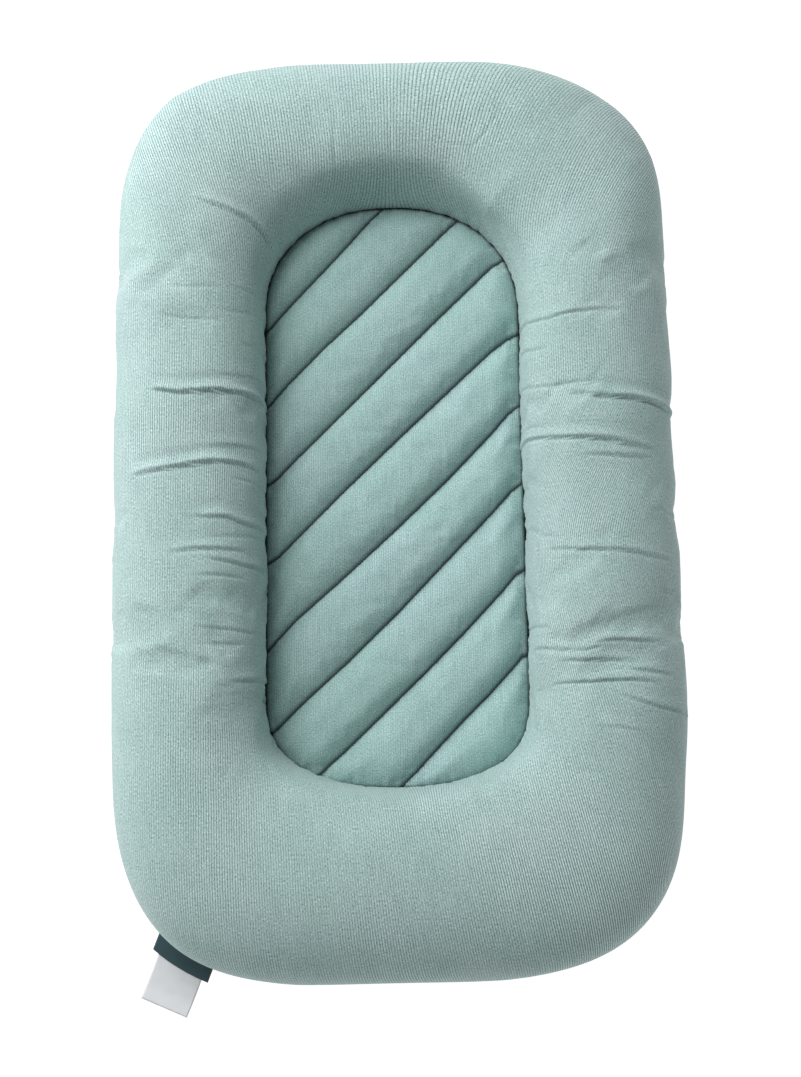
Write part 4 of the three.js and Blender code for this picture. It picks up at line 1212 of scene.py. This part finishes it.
oneStitch = stitchModel(stitching)
for number, row in enumerate(quilt["rows"]):
    on = np.flatnonzero(madeQuilt["onRow"] & (np.abs(madeQuilt["v"] - row) < 1e-6))
    line = madeQuilt["points"][on[np.argsort(madeQuilt["w"][on])]]
    stitches = copyAlong(f"quiltStitches{number + 1}", line, oneStitch, stitching, quiltThreadInShade)
    settle(stitches, "sewing_thread", f"quilt_stitch_{number + 1}")
print("lounger: quilt stitches")

# Bound seam allowances: one where the quilt joins the ring, one inside the outer seam
bindings = {
    "rows": 420,
    "padInner": 0.0036,
    "padOuter": 0.0002,
    "padTop": 0.0431,
    "padBottom": 0.0388,
    "padWaves": 140,
    "outerInset": 0.0013,
    "outerThickness": 0.001,
    "outerReaches": (-0.6, 0.9),
    "outerReach": 0.004,
}


# A closed band that runs once round the lounger, from its sections
def closedBand(name, sections, material):
    rows, columns = sections.shape[:2]
    return addMesh(name, sections, gridFaces(rows, columns, True, True), material)


def makePadBinding(values):
    stations = evenStations(values["rows"], 0.0)
    middle, half = (values["padInner"] + values["padOuter"]) / 2, (values["padInner"] - values["padOuter"]) / 2
    level, rise = (values["padTop"] + values["padBottom"]) / 2, (values["padTop"] - values["padBottom"]) / 2
    turn = np.linspace(0, 2 * np.pi, 17)[:-1]
    across, up = signedPower(np.cos(turn), 0.5), signedPower(np.sin(turn), 0.5)
    wave = 0.5 + 0.5 * np.cos(np.arange(values["rows"]) / values["rows"] * 2 * np.pi * values["padWaves"])
    wave = 1 - 0.06 * wave[:, None]
    sections = raised(outFrom(stations, -middle - half * across * wave), level + rise * up * wave)
    return closedBand("padSeamBinding", sections[:, ::-1], bindingCloth)


def makeOuterBinding(values):
    stations = evenStations(values["rows"], 0.5)
    low, high = [angleAt(shape["outerSeam"] + values["outerReach"] * share, True) for share in values["outerReaches"]]
    up = np.linspace(low, high, 7)
    # the ring's seam is pinched in, so the band lies a little deeper
    deep = values["outerInset"] + ring["seamPinch"]
    inside = skinPoints(stations, up[::-1], deep + values["outerThickness"])
    sections = np.concatenate([skinPoints(stations, up, deep), inside], 1)
    return closedBand("outerSeamBinding", sections, bindingCloth)


settle(makePadBinding(bindings), "seam_binding", "pad_seam_binding")
settle(makeOuterBinding(bindings), "seam_binding", "outer_seam_binding")

# Underside: two halves of lining, flat where they rest on the floor, held up under the pad by the zip
underside = {
    "rows": 300,
    "columns": (34, 9, 26),       # up the skin, from there to the pad's rim, and on to the zip
    "seamHeight": 0.0197,
    "seamPinch": 0.0016,
    "innerAngle": -108,
    "rimLift": 0.0045,
    "middleLift": 0.006,
    "middleLineShare": 0.92,
    "openingHalf": 0.005,
    "openingHalfLength": 0.2285,
    "openingEase": 0.006,
    "gap": 0.00015,
    "thickness": 0.0009,
    "wrinkle": 0.0010,
}


# Rings of points on the way from one ring of points to another, the last one among them
def ringsTo(first, last, count):
    share = np.linspace(0, 1, count + 1)[1:]
    return first[:, None, :] + (last - first)[:, None, :] * share[None, :, None]


def makeUnderside(name, side, values):
    stations = evenStations(values["rows"], 0.5, True)
    skinColumns, *more = values["columns"]
    innerAngle = math.radians(values["innerAngle"])
    skin = skinPoints(stations, evenAngles(angleAt(values["seamHeight"], True), innerAngle, skinColumns))
    pinch = values["seamPinch"] * bell(runLength(skin), ring["seamPinchReach"])
    skin = skin - gridNormals(skin[:, ::-1], False)[:, ::-1] * pinch[:, :, None]
    rim = raised(stations["inner"], values["rimLift"])
    reach = (stations["inner"][:, 1] - padMiddleY) * values["middleLineShare"]
    beside = easeIn((values["openingHalfLength"] - np.abs(reach)) / values["openingEase"])
    x = values["gap"] + (values["openingHalf"] - values["gap"]) * beside
    middle = raised(np.stack([x, padMiddleY + reach], 1), values["middleLift"])
    bands = [skin]
    for first, last, count in zip((skin[:, -1], rim), (rim, middle), more):
        band = ringsTo(first, last, count)
        share = easeIn(np.linspace(0, 1, count + 1)[1:])
        band[:, :, 2] = first[:, None, 2] + (last - first)[:, None, 2] * share
        bands.append(band)
    grid = np.concatenate(bands, 1)
    # soft wrinkles where the cloth hangs free of the floor
    free = np.clip(grid[:, :, 2] / values["rimLift"], 0, 1) * (np.arange(grid.shape[1]) >= skinColumns)
    x, y = grid[:, :, 0], grid[:, :, 1]
    waves = np.sin(x * 61 + y * 23 + side) + np.sin(y * 47 - x * 29 + 2 * side) + np.sin(y * 83 + x * 11 + 1)
    hold = easeIn((x - values["openingHalf"]) / 0.03)
    grid[:, :, 2] += values["wrinkle"] * free * hold * (waves / 3 - 0.4)
    grid[:, :, 2] = np.maximum(grid[:, :, 2], 0.0)
    grid[:, :, 0] = np.maximum(grid[:, :, 0], values["gap"])
    faces = gridFaces(*grid.shape[:2], closedRows=False)[:, ::side]
    piece = addMesh(name, grid * [side, 1, 1], faces, lining)
    mesh = bmesh.new()
    mesh.from_mesh(piece.data)
    bmesh.ops.remove_doubles(mesh, verts=mesh.verts, dist=0.00002)
    mesh.to_mesh(piece.data)
    mesh.free()
    # the faces look down and out; the cloth's thickness goes up and in
    turnFaces(piece, -1)
    thicken(piece, values["thickness"])
    return piece


settle(makeUnderside("undersideRight", 1, underside), "lining_cloth", "underside_right")
settle(makeUnderside("undersideLeft", -1, underside), "lining_cloth", "underside_left")
print("lounger: seam bindings and underside")

# Zip on the middle of the underside: tapes, coils of nylon wire, stops, slider and pull
zipper = {
    "chainHalf": 0.2165,
    "edge": 0.0006,
    "coilWidth": 0.0022,
    "coilTop": 0.0070,
    "coilHeight": 0.0022,
    "wire": 0.00031,
    "pitch": 0.0015,
    "turnSteps": 10,
    "headReach": 0.0004,
    "tapeBottom": 0.0073,
    "tapeThickness": 0.0006,
    "tapeWidth": 0.014,
    "tapeOverrun": 0.012,
    "tapeCuts": (14, 220),
    "stopBevel": 0.0004,
    "bevel": 0.00018,
    "stitchPlace": 0.0085,
    "stitchMargin": 0.004,
    "stitchPoints": 90,
}
zipStitching = {**stitching, "pitch": 0.003, "length": 0.0024, "width": 0.0006, "up": (0, 0, -1)}


# A wire ring lying round the tape's edge, wound into a coil with the screw modifier
def makeCoil(name, side, values):
    bpy.ops.object.select_all(action="DESELECT")
    radius = values["coilHeight"] / 2 - values["wire"]
    bpy.ops.mesh.primitive_circle_add(vertices=6, radius=values["wire"], fill_type="NOTHING",
                                      rotation=(math.pi / 2, 0, math.pi / 2))
    coil = bpy.context.object
    coil.name = name
    bpy.ops.object.transform_apply(location=True, rotation=True, scale=True)
    for vert in coil.data.vertices:
        vert.co = (radius + vert.co.y, vert.co.z, 0.0)
    screw = coil.modifiers.new("winding", "SCREW")
    screw.axis = "Y"
    screw.screw_offset = values["pitch"]
    screw.iterations = int(2 * values["chainHalf"] / values["pitch"])
    screw.steps = screw.render_steps = values["turnSteps"]
    screw.use_smooth_shade = True
    applyModifier(coil, "winding")
    points = coordinates(coil)
    points[:, 0] *= (values["coilWidth"] / 2 + values["headReach"] - values["wire"]) / radius
    points[:, 0] += values["edge"] + values["coilWidth"] / 2 - values["headReach"] / 2
    points[:, 0] *= side
    points[:, 1] += padMiddleY - values["chainHalf"] + (values["pitch"] / 2 if side < 0 else 0)
    points[:, 2] += values["coilTop"] - values["coilHeight"] / 2
    setCoordinates(coil, points)
    faceOutward(coil)
    coil.data.materials.append(coilNylon)
    return coil


# Copy of a CAD node with its triangles joined into faces and its edges rounded
def roundedCopy(node, name, bevel):
    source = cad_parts[node]
    copy = source.copy()
    copy.data = source.data.copy()
    copy.name = copy.data.name = name
    for key in [k for k in copy.keys() if k.startswith("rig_")]:
        del copy[key]
    bpy.context.scene.collection.objects.link(copy)
    world = source.matrix_world.copy()
    copy.parent = None
    copy.matrix_world = Matrix.Identity(4)
    copy.data.transform(world)
    copy.hide_render = copy.hide_viewport = False
    faceOutward(copy, joining=True)
    rounding = copy.modifiers.new("rounding", "BEVEL")
    rounding.width = bevel
    rounding.segments = 2
    rounding.limit_method = "ANGLE"
    rounding.angle_limit = math.radians(30)
    applyModifier(copy, "rounding")
    copy.data.materials.clear()
    copy.data.materials.append(nickel)
    smoothBelow(copy, 35)
    return copy


# Woven tape with a rounded selvedge and a raised cord beside the coil
def makeTape(name, side, values):
    bpy.ops.object.select_all(action="DESELECT")
    across, along = values["tapeCuts"]
    bpy.ops.mesh.primitive_grid_add(x_subdivisions=across, y_subdivisions=along, size=1)
    tape = bpy.context.object
    tape.name = name
    points = coordinates(tape)
    share = points[:, 0] + 0.5
    x = values["edge"] + values["tapeWidth"] * share
    y = points[:, 1] * 2 * (values["chainHalf"] + values["tapeOverrun"])
    lift = values["tapeThickness"] * (0.10 + 0.35 * bell(share - 0.30, 0.05) + 0.18 * bell(share - 0.97, 0.03))
    lift += 0.00004 * np.sin(y * 260 + share * 5)
    setCoordinates(tape, np.stack([x * side, y + padMiddleY, values["tapeBottom"] + lift], 1))
    if side < 0:
        tape.data.flip_normals()
    thicken(tape, values["tapeThickness"] * 0.5, 1.0)
    tape.data.materials.append(tapeCloth)
    faceOutward(tape)
    smoothBelow(tape, 50)
    return tape


def makeZip(values):
    for side, name in ((1, "right"), (-1, "left")):
        place = name.capitalize()
        settle(makeTape("zipTape" + place, side, values), "lining_cloth", "zip_tape_" + name)
        settle(makeCoil("zipCoil" + place, side, values), "zip_nylon", "zip_coil_" + name)
    for node, name, bevel, body in (
            ("zip_top_stop_right", "zipTopStopRight", "stopBevel", "lounger"),
            ("zip_top_stop_left", "zipTopStopLeft", "stopBevel", "lounger"),
            ("zip_bottom_stop", "zipBottomStop", "stopBevel", "lounger"),
            ("zip_slider", "zipSlider", "bevel", "slider"),
            ("zip_pull", "zipPull", "bevel", "pull")):
        settle(roundedCopy(node, name, values[bevel]), "zip_metal", node, body=body)
    # a row of stitches down each side of the opening
    model, count = stitchModel(zipStitching), values["stitchPoints"]
    reach = underside["openingHalfLength"] - values["stitchMargin"]
    y = np.linspace(-reach, reach, count) + padMiddleY
    for side, name in ((1, "Right"), (-1, "Left")):
        flat = np.stack([np.full(count, side * values["stitchPlace"]), y], 1)
        line = raised(flat, underside["middleLift"] + 0.0001)
        stitches = copyAlong("zipSeamStitches" + name, line, model, zipStitching, liningThread)
        settle(stitches, "sewing_thread")


makeZip(zipper)
print("lounger: zip")

# Labels sewn into the outer seam at the foot end's left corner, left bare
labels = {
    "step": 2 * halfSteps - shape["cornerSteps"] * 0.41,
    "lean": 14,
    "drops": (0, 0.04, 0.28, 0.72, 0.94, 1),
    "reaches": (0, 0.1, 0.3, 0.55, 0.78, 1),
    "startInside": 0.056,
    "thickness": 0.0005,
    "gap": 0.0003,
    "tuck": 0.0035,
    "least": 0.00005,
    "sideSteps": 28,
    "longSteps": 44,
    "care": {"width": 0.044, "length": 0.061, "lift": 0.0},
    "band": {"width": 0.056, "length": 0.024, "lift": 0.0008},
}


def crossing(outline, start, way):
    beside = np.array([-way[1], way[0]])
    here = (outline - start) @ beside
    there = np.roll(here, -1)
    hit = (here * there <= 0) & (here != there)
    share = here[hit] / (here[hit] - there[hit])
    spots = outline[hit] + (np.roll(outline, -1, 0)[hit] - outline[hit]) * share[:, None]
    return float(((spots - start) @ way).max())


def makeLabel(name, size, material, values):
    middle = stationsAt(np.array([values["step"]]))
    turn = math.radians(values["lean"])
    (x, y), = middle["way"]
    outward = np.array([x * math.cos(turn) - y * math.sin(turn), x * math.sin(turn) + y * math.cos(turn)])
    sideways = np.array([-outward[1], outward[0]])
    seam = np.array([angleAt(shape["outerSeam"], True)])
    outline = skinPoints(stationsAt(np.linspace(0, 2 * halfSteps, 961)[:-1]), seam)[:, 0, :2]
    start = skinPoints(middle, seam)[0, 0, :2] - outward * values["startInside"]
    longest = values["care"]["length"]
    far = crossing(outline, start, outward) + longest
    drop = shape["outerSeam"] - 2 * values["thickness"] - values["gap"]
    reach = np.linspace(-values["tuck"] / longest, size["length"] / longest, values["longSteps"])
    height = size["lift"] + drop * (1 - np.interp(reach, values["reaches"], values["drops"]))
    grid, lay = [], []
    for share in np.linspace(-0.5, 0.5, values["sideSteps"]) * size["width"]:
        base = start + sideways * share
        near = crossing(outline, base, outward) + values["gap"]
        grid.append(raised(base + outward * (near + (far - near) * reach)[:, None], height))
        lay.append(np.stack([np.full(len(reach), share), reach * longest], 1))
    grid = np.array(grid)
    for _ in range(6):
        grid[:, 1:-1, 2] = (grid[:, :-2, 2] + 2 * grid[:, 1:-1, 2] + grid[:, 2:, 2]) / 4
    grid[:, :, 2] = np.maximum(grid[:, :, 2], size["lift"] + values["least"])
    piece = addMesh(name, grid, gridFaces(*grid.shape[:2], closedRows=False), material, np.array(lay))
    turnFaces(piece, 1)
    thicken(piece, values["thickness"], 1.0)
    return piece


settle(makeLabel("careLabel", labels["care"], whiteSatin, labels), "white_satin", "care_label")
settle(makeLabel("labelBand", labels["band"], darkSatin, labels), "dark_satin", "label_band")
print("lounger: labels")

# The insert inside the cover: casing, the ring's fibre fill, the pad's core, and the quilt's wadding and backing
insert = {
    "rows": 200,
    "casingInset": 0.0046,
    "casingThickness": 0.0006,
    "casingFloor": 0.0013,
    "casingSeam": 0.0192,
    "casingAngle": -108,
    "fillInset": 0.0062,
    "fillFloor": 0.0024,
    "fillLumps": 0.0015,
    "fillSeam": 0.0205,
    "fillAngle": -136,
    "crown": 0.0372,
    "coreTop": 0.0362,
    "coreOverlap": 0.002,
    "coreRound": 0.003,
    "plateauInset": 0.028,
    "plateau": 0.0099,
    "sheetPoints": 260,
    "sheetSteps": (7, 0.008),
    "sheetInset": 0.0042,
    "wadding": {"base": 0.0388, "top": 0.0412, "riseShare": 0.70},
    "backing": {"base": 0.0375, "top": 0.0384},
}


def padMiddle(height):
    return np.array([0.0, padMiddleY, height])


# Rings of points from a ring to one middle point, which is left out
def ringsIn(first, height, count):
    return ringsTo(first, np.broadcast_to(padMiddle(height), first.shape), count)[:, :-1]


# A body from rings of points that close to one middle point at each end
def poledBody(name, grid, first, last, material):
    rows, columns = grid.shape[:2]
    i = np.arange(rows) * columns
    i2 = np.roll(i, -1)
    top = columns - 1
    caps = [np.stack([np.full(rows, rows * columns), i2, i], 1),
            np.stack([np.full(rows, rows * columns + 1), i + top, i2 + top], 1)]
    points = np.concatenate([grid.reshape(-1, 3), [padMiddle(first), padMiddle(last)]])
    piece = addMesh(name, points, [*gridFaces(rows, columns), *caps[0], *caps[1]], material)
    faceOutward(piece)
    return piece


# The cover's shape on coarser rows, pressed in as far as its deepest dips near each row, and the way out of it
def underCover(made, rows):
    every = np.arange(rows) * ring["rows"] // rows
    reach = ring["rows"] // rows + 1
    deepest = np.min([np.roll(made["lift"], k, 0) for k in range(-reach, reach + 1)], 0)
    normal = gridNormals(made["calm"])
    return (made["calm"] + normal * deepest[:, :, None])[every], normal[every], stationsAt(made["steps"][every])


def makeCasingTop(values, made):
    cover, normal, stations = underCover(made, values["rows"])
    layers = []
    for extra in (values["casingThickness"], 0.0):
        inset, crown = values["casingInset"] + extra, values["crown"] - extra
        skin = (cover - normal * inset)[:, 3:]
        edge = raised(stations["inner"] + stations["way"] * (inset - 0.0015), crown)
        layers.append(np.concatenate([skin, edge[:, None], ringsIn(edge, crown, 14)], 1))
    grid = np.concatenate([layers[0][:, ::-1], layers[1]], 1)
    return poledBody("casingTop", grid, values["crown"] - values["casingThickness"], values["crown"], casingCloth)


def bellyRings(stations, level):
    rim = raised(stations["inner"], underside["rimLift"] + level)
    flat = stations["inner"] - stations["way"] * insert["plateauInset"]
    return rim, raised(flat, insert["plateau"] + level - insert["casingFloor"])


def makeCasingBottom(values):
    stations = evenStations(values["rows"], 0.5)
    layers = []
    for extra in (0.0, values["casingThickness"]):
        inset, floor = values["casingInset"] + extra, values["casingFloor"] + extra
        angles = evenAngles(angleAt(values["casingSeam"], True, inset), math.radians(values["casingAngle"]), 20)
        skin = skinPoints(stations, angles, inset, floor)
        rim, plateau = bellyRings(stations, floor)
        bands = [skin, ringsTo(skin[:, -1], rim, 4), ringsTo(rim, plateau, 4), ringsIn(plateau, plateau[0, 2], 10)]
        layers.append(np.concatenate(bands, 1))
    low = layers[0][0, -1, 2]
    grid = np.concatenate([layers[0][:, ::-1], layers[1]], 1)
    return poledBody("casingBottom", grid, low, low + values["casingThickness"], casingCloth)


def makeRingFill(values, made):
    cover, normal, stations = underCover(made, values["rows"])
    upper = (cover - normal * values["fillInset"])[:, 4::3]
    upper = upper[:, upper[:, :, 2].min(0) > values["coreTop"] + 0.001]
    seam = angleAt(values["fillSeam"], True, values["fillInset"])
    lower = np.linspace(math.radians(values["fillAngle"]), seam, 16)
    grid = np.concatenate([upper, skinPoints(stations, lower, values["fillInset"], values["fillFloor"])], 1)
    lumps = chance.uniform(-1, 1, grid.shape[:2])
    for _ in range(3):
        beside = np.roll(lumps, 1, 0) + np.roll(lumps, -1, 0) + np.roll(lumps, 1, 1) + np.roll(lumps, -1, 1)
        lumps = (lumps + beside) / 5
    grid = grid - gridNormals(grid, True, True) * (np.abs(lumps) * values["fillLumps"])[:, :, None]
    grid[:, :, 2] = np.maximum(grid[:, :, 2], values["fillFloor"])
    piece = closedBand("ringFill", grid, fibre)
    faceOutward(piece)
    return piece


def makePadCore(values):
    stations = evenStations(values["rows"], 0.2)
    rim, plateau = bellyRings(stations, values["fillFloor"])
    inner, way, top = stations["inner"], stations["way"], values["coreTop"]
    shoulder = raised(inner + way * (values["coreOverlap"] - values["coreRound"]), top)
    side = raised(inner + way * values["coreOverlap"], top - values["coreRound"])
    low = raised(side[:, :2], rim[:, 2])
    up = ringsTo(np.broadcast_to(padMiddle(top), side.shape), shoulder, 10)
    bands = [up, side[:, None], ringsTo(side, low, 5), ringsTo(low, plateau, 4), ringsIn(plateau, plateau[0, 2], 8)]
    return poledBody("padCore", np.concatenate(bands, 1), top, plateau[0, 2], fibre)


# A flat-bottomed sheet over the pad, raised a share of the quilt's own rise
def layeredSheet(name, material, base, top, riseShare=0.0):
    outline = padOutline(insert["sheetInset"], insert["sheetPoints"])
    flat, faces = padSheet(outline, *insert["sheetSteps"])
    rise = quiltHeights(flat, padOutline(quilt["edgeInset"], insert["sheetPoints"]))[0] - quilt["seamHeight"]
    flat = asSewn(flat, padOutline(quilt["edgeInset"], quilt["edgePoints"]))
    points = np.concatenate([raised(flat, top + np.maximum(0, rise) * riseShare), raised(flat, base)])
    count = len(flat)
    edges = [edge for face in faces.tolist() for edge in zip(face, face[1:] + face[:1])]
    shared = set(edges)
    walls = [np.array([b, a, a + count, b + count]) for a, b in edges if (b, a) not in shared]
    piece = addMesh(name, points, [*faces, *(faces[:, ::-1] + count), *walls], material)
    faceOutward(piece)
    return piece


settle(makeCasingTop(insert, madeRing), "white_cloth", "casing_top")
settle(makeCasingBottom(insert), "white_cloth", "casing_bottom")
for inside, node in ((makeRingFill(insert, madeRing), "ring_fill"), (makePadCore(insert), "pad_core"),
                     (layeredSheet("quiltWadding", fibre, **insert["wadding"]), "quilt_wadding")):
    settle(inside, "fibre", node)
settle(layeredSheet("quiltBacking", lining, **insert["backing"]), "lining_cloth", "quilt_backing")
print("lounger: insert")
